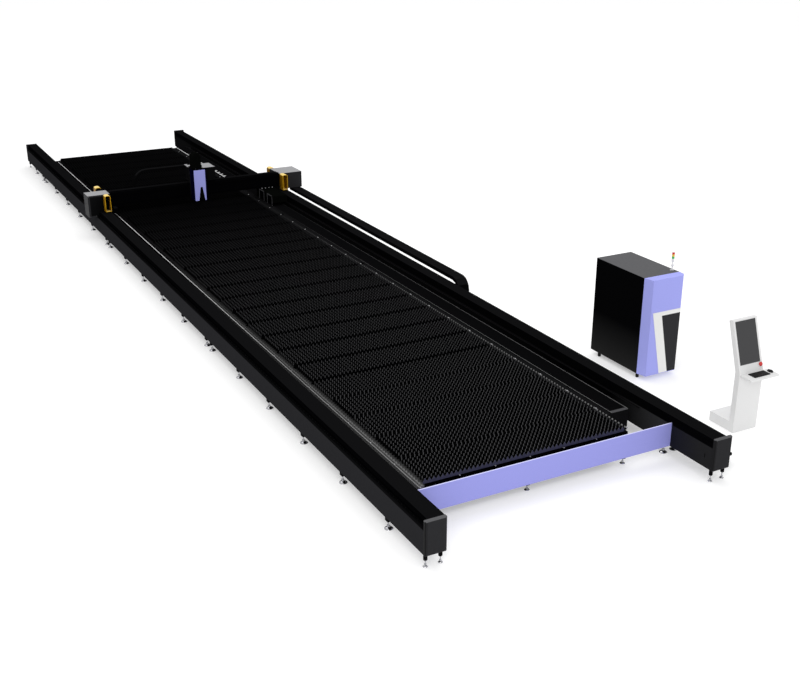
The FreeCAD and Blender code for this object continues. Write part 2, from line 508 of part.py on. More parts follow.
for side in SIDES:
    rows = ["foot_near + %d * module_len + %d * foot_pitch" % (m, i)
            for m in range(MODULE_COUNT) for i in range(FEET_COUNT)]
    rows += ["foot_near + %d * module_len" % MODULE_COUNT, "foot_last"]
    for i, y in enumerate(rows):
        foot("%s_%d" % (side, i), side_x(side, "foot_inset"), y)
        if i % FEET_COUNT == 0:
            foot("%s_in_%d" % (side, i), side_x(side, "rail_w - foot_inset"), y)
    for end, y in (("near", "end_leg_y"), ("far", "bed_len - end_leg_y")):
        for spot in ("end_leg_out", "end_leg_in"):
            tag = "%s_%s_%s" % (side, end, spot)
            x = side_x(side, spot)
            legs.append(prism("leg_" + tag, x, y, "end_leg_floor", "end_leg_r", "end_leg_tall", 8))
            levelling_foot(tag, x, y, "end_leg_floor", "end_stem_r", "end_pad_r", "end_pad_neck",
                           "end_pad_tall")

# ---------------------------------------------------------------- cross beams
near_cross = padded("near_cross", "YZ",
                    [[("0", "cross_floor"), ("cross_flange", "cross_floor"),
                      ("cross_flange", "cross_floor + cross_thick"),
                      ("cross_thick", "cross_floor + cross_thick"), ("cross_thick", "cross_top"),
                      ("0", "cross_top")]],
                    "bed_w - 2 * rail_w", ("rail_w", "cross_y", "0"))
node("near_cross_beam", near_cross)

far_plate = span("far_plate", "rail_w", "bed_w - rail_w", "far_cross_y", "far_cross_y + cross_thick",
                 "cross_floor", "far_cross_top")
far_hole = prism("far_hole", "outlet_x", "far_cross_y - cross_thick", "outlet_z",
                 flats("outlet_r + outlet_wall + fit", 16), "3 * cross_thick", 16, "y")
rear = [cut("far_cross", far_plate, far_hole)]
for k in range(MODULE_COUNT - 1):
    y = "table_y + %d * module_len - module_gap - tie_w" % (k + 1)
    rear.append(fuse("tie_%s" % "ab"[k],
                     box("tie_bar_%d" % k, "rail_w", y, "tie_floor", "bed_w - 2 * rail_w", "tie_w",
                         "low_floor - tie_floor"),
                     box("tie_left_%d" % k, "rail_w", y, "tie_floor", "cross_thick", "tie_w",
                         "tie_top - tie_floor"),
                     box("tie_right_%d" % k, "bed_w - rail_w - cross_thick", y, "tie_floor", "cross_thick",
                         "tie_w", "tie_top - tie_floor")))
node("rear_cross_beams", group("rear_beams", *rear))

# ---------------------------------------------------------------- table
frames = []
pans = []
LEG_X = ("table_left", "(table_left + table_right - leg_w) / 2", "table_right - leg_w")


def leg_row(tag, y, standing):
    """Three posts with low beams between them; standing posts have levelling feet."""
    floor = "table_leg_floor" if standing else "low_floor"
    for k, x in enumerate(LEG_X):
        frames.append(box("post_%s_%d" % (tag, k), x, y, floor, "leg_w", "leg_w",
                          "%s - %s" % ("bar_floor - beam_tall" if k == 1 else "side_floor", floor)))
        if standing:
            levelling_foot("table_%s_%d" % (tag, k), x + " + leg_w / 2", y + " + leg_w / 2",
                           "table_leg_floor", "table_stem_r", "table_pad_r", "table_pad_neck",
                           "table_pad_tall")
    for k in range(2):
        frames.append(box("low_beam_%s_%d" % (tag, k), LEG_X[k] + " + leg_w", y, "low_floor",
                          "(%s) - (%s) - leg_w" % (LEG_X[k + 1], LEG_X[k]), "leg_w", "low_tall"))


for m in range(MODULE_COUNT):
    near = "table_y + %d * module_len" % m
    length = "module_len - module_gap"
    far_row = "%s + %s - leg_w" % (near, length)
    for t_name, x in (("a", "table_left"), ("b", "table_right - side_w")):
        frames.append(box("side_%s_%d" % (t_name, m), x, near, "side_floor", "side_w", length,
                          "slat_floor - side_floor"))
    for j, y in enumerate((near, near + " + (module_len - beam_w) / 2", far_row)):
        frames.append(box("top_beam_%d_%d" % (m, j), "table_left + side_w", y, "bar_floor - beam_tall",
                          "table_right - table_left - 2 * side_w", "beam_w", "beam_tall"))
    leg_row("%d_near" % m, near, True)
    leg_row("%d_far" % m, far_row, m == MODULE_COUNT - 1)
    for t_name, x in (("a", "pan_left + runner_inset"), ("b", "pan_right - runner_inset - runner_w")):
        frames.append(box("runner_%s_%d" % (t_name, m), x, near + " + leg_w", "low_floor", "runner_w",
                          length + " - 2 * leg_w", "low_tall"))
    pan_near = near + " + leg_w + pan_gap"
    pan_len = length + " - 2 * leg_w - 2 * pan_gap"
    tub = box("tub_%d" % m, "pan_left", pan_near, "low_floor + low_tall", "pan_right - pan_left", pan_len,
              "pan_tall")
    hollow = box("hollow_%d" % m, "pan_left + pan_wall", pan_near + " + pan_wall",
                 "low_floor + low_tall + pan_wall", "pan_right - pan_left - 2 * pan_wall",
                 pan_len + " - 2 * pan_wall", "pan_tall")
    pans.append(cut("pan_%d" % m, tub, hollow))
node("table_frame", group("frames", *frames))
node("slag_pans", group("pans", *pans))
node("rail_legs", group("leg_set", *legs))
node("foot_pads", group("foot_pad_set", *pads))

slats = []
for c in range(MODULE_COUNT * CASSETTE_COUNT):
    for i in range(SLAT_COUNT):
        y = "slat_near - slat_thick / 2 + %d * cassette_len + %d * slat_pitch" % (c, i)
        slats.append(box("slat_%d_%d" % (c, i), "slat_left", y, "slat_floor", "slat_right - slat_left",
                         "slat_thick", "slat_tall"))
node("slats", group("slat_set", *slats))

bars = []
for m in range(MODULE_COUNT):
    for j in range(1, BAR_COUNT + 1):
        bars.append(box("bar_%d_%d" % (m, j), "bar_left + %d * bar_pitch" % j,
                        "table_y + %d * module_len" % m, "bar_floor", "bar_thick",
                        "module_len - module_gap", "bar_tall"))
node("slat_supports", group("bars", *bars))

# ---------------------------------------------------------------- extraction duct
duct_ceiling = "duct_top - duct_wall"
left_strip = span("duct_strip_left", "duct_left + duct_wall", "belt_left + belt_over",
                  "duct_near + duct_wall", "duct_far - duct_wall", duct_ceiling, "duct_top")
hatches = [box(t, "hatch_x", t, "duct_top - 2 * duct_wall", "hatch_w", "hatch_len", "3 * duct_wall")
           for t in ("hatch_near", "hatch_far")]
inner_lip = box("duct_inner_lip", "belt_left - lip_gap - lip_w", "duct_near + duct_wall", "duct_top",
                "lip_w", "duct_far - duct_near - 2 * duct_wall", "lip_tall")
ports = [box("port_%d" % k, "duct_left - duct_wall",
             "duct_near + port_near + %d * port_pitch" % k,
             "port_floor", "3 * duct_wall", "port_len", "port_tall") for k in range(PORT_COUNT)]
left_wall = box("duct_left_sheet", "duct_left", "duct_near", "duct_floor", "duct_wall",
                "duct_far - duct_near", "duct_top - duct_floor")
far_sheet = span("duct_far_sheet", "duct_left + duct_wall", "duct_right - duct_wall",
                 "duct_far - duct_wall", "duct_far", "duct_floor + duct_wall", "duct_top")
spigot = rod("spigot", "outlet_x", "duct_far - duct_wall / 2", "outlet_z", "outlet_r + outlet_wall",
             "outlet_len + duct_wall / 2", "y")
bore = rod("spigot_bore", "outlet_x", "duct_far - 2 * duct_wall", "outlet_z", "outlet_r",
           "outlet_len + 3 * duct_wall", "y")
panels = [
    cut("duct_left_wall", left_wall, *ports),
    box("duct_right_wall", "duct_right - duct_wall", "duct_near", "duct_floor", "duct_wall",
        "duct_far - duct_near", "duct_top + lip_tall - duct_floor"),
    span("duct_base", "duct_left + duct_wall", "duct_right - duct_wall", "duct_near", "duct_far",
         "duct_floor", "duct_floor + duct_wall"),
    span("duct_near_sheet", "duct_left + duct_wall", "duct_right - duct_wall", "duct_near",
         "duct_near + duct_wall", "duct_floor + duct_wall", "duct_top"),
    cut("duct_far_wall", fuse("duct_far_set", far_sheet, spigot), bore),
    cut("duct_top_left", left_strip, *hatches),
    inner_lip,
    span("duct_top_right", "belt_right - belt_over", "duct_right - duct_wall", "duct_near + duct_wall",
         "duct_far - duct_wall", duct_ceiling, "duct_top"),
]
for i in range(DUCT_LEG_COUNT):
    y = "duct_near + duct_leg_inset + %d * duct_leg_pitch" % i
    for t_name, x in (("a", "duct_left + duct_leg_inset"),
                      ("b", "duct_right - duct_leg_inset - duct_leg_w")):
        panels.append(box("duct_leg_%d%s" % (i, t_name), x, y, "0", "duct_leg_w", "duct_leg_w",
                          "duct_floor"))
node("extraction_duct", group("duct", *panels))
node("duct_belt", span("belt", "belt_left", "belt_right", "duct_near + duct_wall", "duct_far - duct_wall",
                       "duct_top", "duct_top + belt_thick"))

# ---------------------------------------------------------------- long drag chain


def straight(tag, axis, first, last, at, section, count):
    """A row of links along x or y from first to last; the last may lie behind the first."""
    links = []
    pitch = "((%s) - (%s)) / %d" % (last, first, count)
    for i in range(count):
        start = "(%s) + %d * %s" % (first, i, pitch)
        size = (section[0], pitch + " - link_gap") if axis == "y" else (pitch + " - link_gap", section[0])
        spot = (at[0], start) if axis == "y" else (start, at[0])
        links.append(box("%s_%d" % (tag, i), spot[0], spot[1], at[1], size[0], size[1], section[1]))
    return links


def bend(tag, plane, at, outer, thick, width, first, count):
    """Wedge links round a quarter of the bend; first is the angle at which the quarter starts."""
    links = []
    step = 90 / count
    for i in range(count):
        low = first + i * step
        rims = (("(%s)" % outer, low), ("(%s)" % outer, low + step),
                ("(%s - %s)" % (outer, thick), low + step), ("(%s - %s)" % (outer, thick), low))
        loop = [("%s * cos(%s deg)" % rim, "%s * sin(%s deg)" % rim) for rim in rims]
        links.append(padded("%s_%d" % (tag, i), plane, [loop], width, at))
    return links


bend_at = ("ychain_left", "ychain_bend - link_gap", "ychain_mid")
y_across = ("ychain_w", "ychain_thick")
node("y_chain_upper_run", group("y_upper", *straight(
    "yu", "y", "ychain_bend", "ychain_end", ("ychain_left", "ychain_top - ychain_thick"), y_across,
    YLINK_UPPER_COUNT)))
node("y_chain_lower_run", group("y_lower", *straight(
    "yl", "y", "ychain_bend", "ychain_fixed", ("ychain_left", "ychain_top - 2 * ychain_r"), y_across,
    YLINK_LOWER_COUNT)))
node("y_chain_upper_bend", group("y_bend_up", *bend(
    "ybu", "YZ", bend_at, "ychain_r", "ychain_thick", "ychain_w", 90, YLINK_BEND_COUNT)))
node("y_chain_lower_bend", group("y_bend_low", *bend(
    "ybl", "YZ", bend_at, "ychain_r", "ychain_thick", "ychain_w", 180, YLINK_BEND_COUNT)))

tray_z = "ychain_top - 2 * ychain_r - chain_rest - tray_thick"
tray = padded("tray_body", "XZ",
              [[("0", "0"), ("ychain_w + 2 * tray_over", "0"), ("ychain_w + 2 * tray_over", "tray_lip"),
                ("ychain_w + 2 * tray_over - tray_thick", "tray_lip"),
                ("ychain_w + 2 * tray_over - tray_thick", "tray_thick"), ("tray_thick", "tray_thick"),
                ("tray_thick", "tray_lip"), ("0", "tray_lip")]],
              "ychain_fixed + tray_past - tray_near", ("ychain_left - tray_over", "tray_near", tray_z))
arms = []
for i in range(ARM_COUNT):
    y = "tray_near + arm_inset + %d * arm_pitch" % i
    arms.append(box("arm_%d" % i, "bed_w", y, tray_z + " - arm_thick",
                    "ychain_left + ychain_w + tray_over - bed_w", "arm_w", "arm_thick"))
    arms.append(box("arm_back_%d" % i, "bed_w", y, tray_z + " - arm_thick", "arm_thick", "arm_w",
                    "rail_floor + arm_up - (%s)" % tray_z))
anchor = box("anchor", "ychain_left", "ychain_fixed", tray_z, "ychain_w", "anchor_len",
             "ychain_thick + chain_rest + tray_thick")
node("y_chain_tray", fuse("tray", tray, anchor, *arms))

# ---------------------------------------------------------------- gantry
beam_outer = span("beam_outer", "beam_left", "beam_right", "gantry_y", "gantry_y + gantry_deep",
                  "gantry_floor", "gantry_top")
stubs = span("beam_stubs", "stub_left", "bed_w - stub_left", "stub_near", "stub_far", "gantry_floor",
             "stub_top")
cell = span("beam_cell", "stub_left - gantry_wall", "bed_w - stub_left + gantry_wall",
            "stub_near + gantry_wall", "stub_far - gantry_wall", "gantry_floor + gantry_wall",
            "stub_top - gantry_wall")
wiper = span("wiper", "wiper_x", "wiper_x + wiper_w", "wiper_y", "gantry_y + gantry_wall", "wiper_floor",
             "gantry_floor")
wiper_cut = prism("wiper_cut", "wiper_x - fit", "wiper_y - wiper_bend / 6", "wiper_floor - wiper_bend / 4",
                  "wiper_bend", "wiper_w + 2 * fit", 12, "x")
xtray = span("xtray", "xtray_left", "xchain_fixed + xanchor_len", "gantry_y + gantry_deep",
             "xchain_y + xchain_w + tray_edge", "xtray_top - xtray_thick", "xtray_top")
xanchor = span("xanchor", "xchain_fixed", "xchain_fixed + xanchor_len", "xchain_y", "xchain_y + xchain_w",
               "xtray_top", "xchain_top - 2 * xchain_r + xchain_thick")
node("gantry_beam", group("beam", cut("beam_tube", fuse("beam_mass", beam_outer, stubs), cell),
                          cut("wiper_bent", wiper, wiper_cut), xtray, xanchor))

motors = []
blocks = []
for side in SIDES:
    parts = [side_box("car_plate_" + side, side, "-car_side", "car_y", "plate_floor", "car_in + car_side",
                      "car_len", "plate_thick"),
             side_box("car_ear_" + side, side, "-ear_w", "motor_y - ear_len / 2", "plate_floor",
                      "ear_w", "ear_len", "plate_thick"),
             side_box("car_cheek_" + side, side, "-car_side", "car_y", "car_side_floor", "plate_thick",
                      "car_len", "cheek_tall + plate_thick"),
             side_box("car_riser_" + side, side, "stub_left", "stub_near", "plate_floor",
                      "car_in - stub_left", "stub_far - stub_near", "gantry_up")]
    bump_x = "bump_left_x" if side == "left" else "bump_right_x"
    parts.append(box("car_post_" + side, bump_x, "car_y + car_len - bump_gap", "plate_floor", "bump_w",
                     "bump_mount + 2 * bump_gap", "bump_up + bump_tall - post_down"))
    if side == "right":
        parts.append(span("chain_arm", "bed_w - car_side", "ychain_left + ychain_w", "ychain_end",
                          "ychain_end + clamp_len", "plate_floor", "plate_floor + plate_thick"))
        parts.append(span("chain_clamp", "ychain_left", "ychain_left + ychain_w", "ychain_end",
                          "ychain_end + clamp_len", "ychain_top - ychain_thick", "plate_top"))
    px = side_x(side, "pinion_x")
    notch = side_box("notch_" + side, side, "-2 * car_side", "motor_y - notch_len / 2", "notch_floor",
                     "plate_thick + 2 * car_side", "notch_len",
                     "plate_floor - notch_floor")
    hole = prism("shaft_hole_" + side, px, "motor_y", "plate_floor - plate_thick",
                 flats("shaft_r + shaft_fit", 8), "3 * plate_thick", 8)
    mass = fuse("carriage_mass_" + side, *parts)
    node("carriage_" + side, cut("carriage_cut_" + side, mass, notch, hole))
    gearbox = box("gearbox_" + side, "(%s) - gearbox_w / 2" % px, "motor_y - gearbox_w / 2",
                  "plate_top", "gearbox_w", "gearbox_w", "gearbox_tall")
    motor = box("motor_" + side, "(%s) - motor_w / 2" % px, "motor_y - motor_w / 2",
                "plate_top + gearbox_tall", "motor_w", "motor_w", "motor_tall")
    seat = prism("gearbox_seat_" + side, px, "motor_y", "plate_floor", flats("shaft_r + shaft_fit", 8),
                 "plate_thick + 3 * shaft_up / 2", 8)
    motors.append(cut("servo_" + side, fuse("servo_mass_" + side, gearbox, motor), seat))
    wheel = prism("pinion_wheel_" + side, px, "motor_y", "pinion_floor", "pinion_r", "pinion_tall", 20)
    shaft = prism("pinion_shaft_" + side, px, "motor_y", "pinion_floor + pinion_tall / 2", "shaft_r",
                  "plate_top + shaft_up - pinion_floor - pinion_tall / 2", 8)
    node("pinion_" + side, fuse("pinion_set_" + side, wheel, shaft))
    for end, y in (("near", "car_y + block_end"), ("far", "car_y + car_len - block_end - block_len")):
        tag = side + "_" + end
        shell = side_box("block_" + tag, side, "plate_thick - car_side", y, "block_floor",
                         "block_in - plate_thick + car_side", "block_len", "block_tall")
        groove = side_box("groove_" + tag, side, "ledge_w - guide_proud - fit", "%s - fit" % y,
                          "guide_floor - fit", "guide_proud", "block_len + 2 * fit", "guide_tall + 2 * fit")
        blocks.append(cut("block_cut_" + tag, shell, groove))
node("y_servos", group("servos", *motors))
node("guide_blocks", group("block_set", *blocks))

# covers are thin boxes, open below, seated on the carriage plates
lc_outer = fuse("lcover_outer",
                span("lc_out", "row_left", "lcover_split", "lcover_y", "lcover_far", "lcover_floor",
                     "cover_top"),
                span("lc_top", "lcover_split - cover_wall", "lcover_right", "lcover_y", "lcover_far",
                     "plate_top", "cover_top"))
lc_inner = ("lcover_y + cover_wall", "lcover_far - cover_wall")
lc_voids = [span("lc_void_out", "row_left + cover_wall", "lcover_split - cover_wall", *lc_inner,
                 "lcover_floor - cover_wall", "cover_top - cover_wall"),
            span("lc_void_top", "row_left + cover_wall", "lcover_right - cover_wall", *lc_inner,
                 "plate_top - cover_wall", "cover_top - cover_wall"),
            span("lc_window", "lcover_right - 2 * cover_wall", "lcover_right + cover_wall",
                 "stub_near - cover_gap", "stub_far + cover_gap", "plate_top - cover_wall",
                 "stub_top + cover_gap"),
            span("lc_ear_way", "lcover_split - 2 * cover_wall", "lcover_split + cover_wall",
                 "motor_y - ear_len / 2 - cover_gap", "motor_y + ear_len / 2 + cover_gap",
                 "plate_floor - cover_gap", "plate_top + fit")]
node("cover_left", cut("lcover", lc_outer, *lc_voids))
rc_voids = [span("rc_void", "rcover_left + cover_wall", "rcover_right - cover_wall",
                 "rcover_y + cover_wall", "rcover_far - cover_wall", "rcover_floor - cover_wall",
                 "cover_top - cover_wall"),
            span("rc_window", "rcover_left - cover_wall", "rcover_left + 2 * cover_wall",
                 "stub_near - cover_gap", "stub_far + cover_gap", "rcover_floor - cover_wall",
                 "stub_top + cover_gap"),
            span("rc_plate_way", "rcover_left - cover_wall", "bed_w + car_side + cover_gap", "car_y - fit",
                 "rcover_far + cover_wall", "rcover_floor - cover_wall", "plate_top")]
node("cover_right", cut("rcover", span("rc_outer", "rcover_left", "rcover_right", "rcover_y", "rcover_far",
                                       "rcover_floor", "cover_top"), *rc_voids))

bumpers = []
bump_set = (("lf", "bump_left_x", "bump_front", "lcover_y - bump_front"),
            ("rf", "bump_right_x", "bump_front", "rcover_y - bump_front"),
            ("lr", "bump_left_x", "bump_rear", "bump_rear_len"),
            ("rr", "bump_right_x", "bump_rear", "bump_rear_len"))
for tag, x, y, deep in bump_set:
    hoop = [("0", "0"), ("bump_wall", "0"), ("bump_wall", "bump_tall - bump_wall"),
            ("bump_w - bump_wall", "bump_tall - bump_wall"), ("bump_w - bump_wall", "0"), ("bump_w", "0"),
            ("bump_w", "bump_tall - bump_round"), ("bump_w - bump_round", "bump_tall"),
            ("bump_round", "bump_tall"), ("0", "bump_tall - bump_round")]
    bumpers.append(padded("bumper_" + tag, "XZ", [hoop], deep, (x, y, "bump_floor")))
node("bumpers", group("bumper_set", *bumpers))

xrails = [span("xguide_" + z[7:], "xguide_left", "xguide_right", "gantry_y - xguide_deep", "gantry_y", z,
               z + " + xguide_w") for z in ("xguide_low", "xguide_high")]
xrack = span("xrack", "xguide_left", "xguide_right", "xrack_y", "xrack_y + xrack_w", "gantry_top",
             "gantry_top + xrack_tall")
node("x_guides_and_rack", group("x_guides", *(xrails + [xrack])))

hood_mass = [span("hood_front", "hood_left", "hood_right", "hood_near", "hood_far", "hood_floor",
                  "hood_top"),
             span("hood_skirt", "hood_left", "hood_right", "skirt_near", "hood_far", "skirt_floor",
                  "hood_floor + hood_wall"),
             span("hood_hanger", "hood_left + hanger_inset", "hood_right - hanger_inset",
                  "gantry_y + hanger_inset / 2", "hood_far - hanger_inset / 2", "hood_top - hood_wall",
                  "gantry_floor")]
fins = [box("fin_%d" % i, "hood_left - fin_w", "hood_near + %d * fin_pitch" % i, "hood_floor",
            "fin_w + hood_wall / 2", "fin_thick", "hood_top - hood_floor") for i in range(FIN_COUNT)]
hood_mouth = span("hood_mouth", "hood_left + hood_wall", "hood_right - hood_wall", "skirt_near + hood_wall",
                  "hood_far - hood_wall", "skirt_floor - hood_wall", "hood_top - hood_wall")
hood_room = span("hood_room", "hood_left + hood_wall", "hood_right - hood_wall", "hood_near + hood_wall",
                 "hood_far - hood_wall", "hood_floor + hood_wall", "hood_top - hood_wall")
hood_body = cut("hood_shell", fuse("hood_mass", *(hood_mass + fins)), hood_room, hood_mouth)
bolts = [prism("hood_bolt_%d" % i, "hood_left + hood_bolt_in + %d * hood_bolt_pitch" % i,
               "gantry_y - hood_bolt_ahead", "hood_top - hood_wall / 2", "hood_bolt_r",
               "hood_bolt_tall + hood_wall / 2", 6) for i in range(4)]
node("suction_hood", fuse("hood", hood_body, *bolts))

# ---------------------------------------------------------------- short drag chain
xbend_at = ("xchain_bend - link_gap", "xchain_y", "xchain_top - xchain_r")
x_across = ("xchain_w", "xchain_thick")
node("x_chain_upper_run", group("x_upper", *straight(
    "xu", "x", "xchain_bend", "box_left", ("xchain_y", "xchain_top - xchain_thick"), x_across,
    XLINK_UPPER_COUNT)))
node("x_chain_lower_run", group("x_lower", *straight(
    "xl", "x", "xchain_bend", "xchain_fixed", ("xchain_y", "xchain_top - 2 * xchain_r"), x_across,
    XLINK_LOWER_COUNT)))
node("x_chain_upper_bend", group("x_bend_up", *bend(
    "xbu", "XZ", xbend_at, "xchain_r", "xchain_thick", "xchain_w", 90, XLINK_BEND_COUNT)))
node("x_chain_lower_bend", group("x_bend_low", *bend(
    "xbl", "XZ", xbend_at, "xchain_r", "xchain_thick", "xchain_w", 180, XLINK_BEND_COUNT)))

# ---------------------------------------------------------------- saddle
sad_parts = [span("sad_plate", "sad_left", "sad_right", "sad_y", "sad_back", "sad_floor", "sad_top"),
             span("sad_tongue", "column_left", "column_right", "sad_y", "sad_back", "column_floor",
                  "column_top - tongue_down"),
             span("sad_spacer", "box_left", "sad_right", "sad_y", "box_y", "box_floor",
                  "box_top - box_lap"),
             span("sad_base", "box_left + box_lap", "box_right - box_lap", "box_y - box_lap",
                  "box_far - box_lap", "box_floor", "box_floor + base_thick")]
base_way = span("base_way", "xmotor_x - xmotor_w / 2 - way_gap", "xmotor_x + xmotor_w / 2 + way_gap",
                "xrack_y - way_gap", "xmotor_y + xmotor_len + way_gap", "box_floor - way_gap",
                "box_floor + base_thick + way_gap")
flange = span("x_flange", "xmotor_x - xflange_w / 2", "xmotor_x + xflange_w / 2", "xflange_y", "xmotor_y",
              "gantry_top + xflange_up", "box_floor + 2 * (xpin_z - box_floor) + base_thick")
flange_bore = prism("x_flange_bore", "xmotor_x", "xflange_y - xflange_thick", "xpin_z",
                    flats("xshaft_r + shaft_fit / 2", 12), "3 * xflange_thick", 12, "y")
xblocks = []
for zname in ("xguide_low", "xguide_high"):
    for xname, x in (("a", "sad_left + xblock_in"), ("b", "sad_right - xblock_in - xblock_w")):
        z = "%s + xguide_w / 2 - xblock_tall / 2" % zname
        shell = box("xblock_%s_%s" % (zname, xname), x, "sad_y", z, "xblock_w", "sad_ahead - xblock_gap",
                    "xblock_tall")
        groove = box("xgroove_%s_%s" % (zname, xname), x + " - fit", "gantry_y - xguide_deep - fit",
                     "%s - fit" % zname, "xblock_w + 2 * fit", "xguide_deep", "xguide_w + 2 * fit")
        xblocks.append(cut("xblock_cut_%s_%s" % (zname, xname), shell, groove))
zrails = [span("zrail_bar_" + x[-1], x, x + " + zrail_w", "sad_y - zrail_deep", "sad_back", "zrail_floor",
               "zrail_top") for x in ("zrail_a", "zrail_b")]
bearings = []
for name in ("bearing_low", "bearing_high"):
    block = span(name + "_block", "screw_x - bearing_w / 2", "screw_x + bearing_w / 2",
                 "screw_y - bearing_deep", "sad_back", name, name + " + bearing_tall")
    screw_way = prism(name + "_bore", "screw_x", "screw_y", name + " - bearing_tall",
                      flats("screw_r + screw_fit", 12), "3 * bearing_tall", 12)
    bearings.append(cut(name + "_bored", block, screw_way))
sad_mass = cut("sad_core", fuse("sad_mass", *sad_parts), base_way)
node("saddle", fuse("sad", sad_mass, cut("x_flange_bored", flange, flange_bore),
                    *(xblocks + zrails + bearings)))

shell = span("box_outer", "box_left", "box_right", "box_y", "box_far", "box_floor + base_thick", "box_top")
void = span("box_void", "box_left + box_wall", "box_right - box_wall", "box_y + box_wall",
            "box_far - box_wall", "box_floor", "box_top - box_wall")
chain_lug = span("chain_lug", "box_left", "box_left + chain_lug_w", "box_far - box_wall",
                 "xchain_y + xchain_w", "xchain_top - xchain_thick - chain_lug_thick",
                 "xchain_top - xchain_thick")
chain_lug_top = span("chain_lug_top", "box_left", "box_left + chain_lug_w", "xchain_y + chain_lug_in",
                     "xchain_y + xchain_w", "xchain_top - xchain_thick - chain_lug_thick", "xchain_top")
node("saddle_box", fuse("saddle_cover", cut("box_shell", shell, void), chain_lug, chain_lug_top))

xmotor = span("xmotor", "xmotor_x - xmotor_w / 2", "xmotor_x + xmotor_w / 2", "xmotor_y",
              "xmotor_y + xmotor_len", "xpin_z - xmotor_w / 2", "xpin_z + xmotor_w / 2")
node("x_pinion", fuse("xpinion",
                      prism("xpinion_wheel", "xmotor_x", "xrack_y", "xpin_z", "xpinion_r", "xrack_w", 20,
                            "y"),
                      prism("xpinion_shaft", "xmotor_x", "xrack_y + xrack_w / 2", "xpin_z", "xshaft_r",
                            "xmotor_y - mesh - xrack_y - xrack_w / 2", 8, "y")))

col_outer = fuse("column_outer",
                 span("column_block", "column_left", "column_right", "column_y", "sad_y", "column_floor",
                      "column_arch"),
                 prism("column_crown", "column_x", "column_y", "column_arch", "column_w / 2",
                       "column_ahead", 16, "y"))
col_inner = fuse("column_inner",
                 span("column_hollow", "column_left + column_wall", "column_right - column_wall",
                      "column_y + column_wall", "sad_back", "column_floor - column_wall", "column_arch"),
                 prism("column_vault", "column_x", "column_y + column_wall", "column_arch",
                       "column_w / 2 - column_wall", "column_ahead", 16, "y"))
node("z_drive_cover", cut("column", col_outer, col_inner))
zmotor = span("zmotor", "screw_x - zmotor_w / 2", "screw_x + zmotor_w / 2", "sad_y - zmotor_w - zmotor_gap",
              "sad_y", "screw_top + mesh", "screw_top + mesh + zmotor_tall")
node("saddle_servos", group("saddle_motors", xmotor, zmotor))
node("z_screw",
     prism("screw", "screw_x", "screw_y", "screw_floor", "screw_r", "screw_top - screw_floor", 12))

# ---------------------------------------------------------------- lifting head
zparts = [span("zplate", "zplate_left", "zplate_right", "zplate_y", "zplate_far", "zplate_floor",
               "zplate_top")]
for x in ("zrail_a", "zrail_b"):
    mid = "%s + zrail_w / 2" % x
    blk = span("zblock_" + x[-1], mid + " - zblock_w / 2", mid + " + zblock_w / 2", "zplate_y",
               "sad_y - zblock_gap", "zblock_floor", "zblock_floor + zblock_tall")
    groove = span("zgroove_" + x[-1], x + " - fit", x + " + zrail_w + fit", "sad_y - zrail_deep - fit",
                  "sad_y", "zblock_floor - fit", "zblock_floor + zblock_tall + fit")
    zparts.append(cut("zblock_cut_" + x[-1], blk, groove))
nut = span("nut", "screw_x - nut_w / 2", "screw_x + nut_w / 2", "zplate_y", "sad_y - nut_gap", "nut_floor",
           "nut_floor + nut_tall")
nut_bore = prism("nut_bore", "screw_x", "screw_y", "nut_floor - nut_tall", flats("screw_r + screw_fit", 12),
                 "3 * nut_tall", 12)
zparts.append(cut("nut_bored", nut, nut_bore))
zparts.append(span("head_arm", "head_x - head_arm_w / 2", "head_x + head_arm_w / 2", "head_y + head_w / 2",
                   "zplate_far", "head_arm_floor", "head_arm_floor + head_arm_tall"))
node("z_slide", fuse("lift", *zparts))

head_parts = [span("optics", "head_x - head_w / 2", "head_x + head_w / 2", "head_y - head_w / 2",
                   "head_y + head_w / 2", "head_box_floor", "head_box_top"),
              prism("barrel", "head_x", "head_y", "head_floor", "head_r", "head_box_floor - head_floor", 8),
              prism("collar", "head_x", "head_y", "head_box_floor - collar_down", "head_r + collar_out",
                    "collar_tall", 8),
              frustum("taper", "head_x", "head_y", "taper_floor", "nozzle_r", "head_r", "taper_tall")]
node("cutting_head", fuse("head", *head_parts))
nozzle_mass = fuse("nozzle_mass",
                   prism("nozzle_neck", "head_x", "head_y", "nozzle_mid", "nozzle_r",
                         "taper_floor - nozzle_mid", 8),
                   frustum("nozzle_cone", "head_x", "head_y", "nozzle_floor", "nozzle_tip", "nozzle_r",
                           "nozzle_mid - nozzle_floor"))
nozzle_way = prism("nozzle_way", "head_x", "head_y", "nozzle_floor - nozzle_tip", "nozzle_bore",
                   "taper_floor - nozzle_floor + 2 * nozzle_tip", 6)
node("nozzle", cut("nozzle_bored", nozzle_mass, nozzle_way))

hcover = padded("hcover_body", "XY",
                [[("0", "0"), ("hcover_w", "0"), ("hcover_w", "hcover_deep"),
                  ("hcover_w - hcover_wall", "hcover_deep"), ("hcover_w - hcover_wall", "hcover_wall"),
                  ("hcover_wall", "hcover_wall"), ("hcover_wall", "hcover_deep"), ("0", "hcover_deep")]],
                "hcover_tall", ("hcover_left", "hcover_y", "hcover_floor"))
slot_shoulder = "slot_top - hcover_floor - slot_high_half / 2 + hcover_wall"
slot_peak = "slot_top - hcover_floor + hcover_wall"
slot = padded("hcover_slot", "XZ",
              [[("0", "0"), ("2 * slot_low_half", "0"), ("slot_low_half + slot_high_half", slot_shoulder),
                ("slot_low_half + slot_high_half / 2", slot_peak),
                ("slot_low_half - slot_high_half / 2", slot_peak),
                ("slot_low_half - slot_high_half", slot_shoulder)]],
              "3 * hcover_wall", ("slot_x - slot_low_half", "hcover_y - hcover_wall",
                                  "hcover_floor - hcover_wall"))
node("head_cover", cut("hcover_cut", hcover, slot))

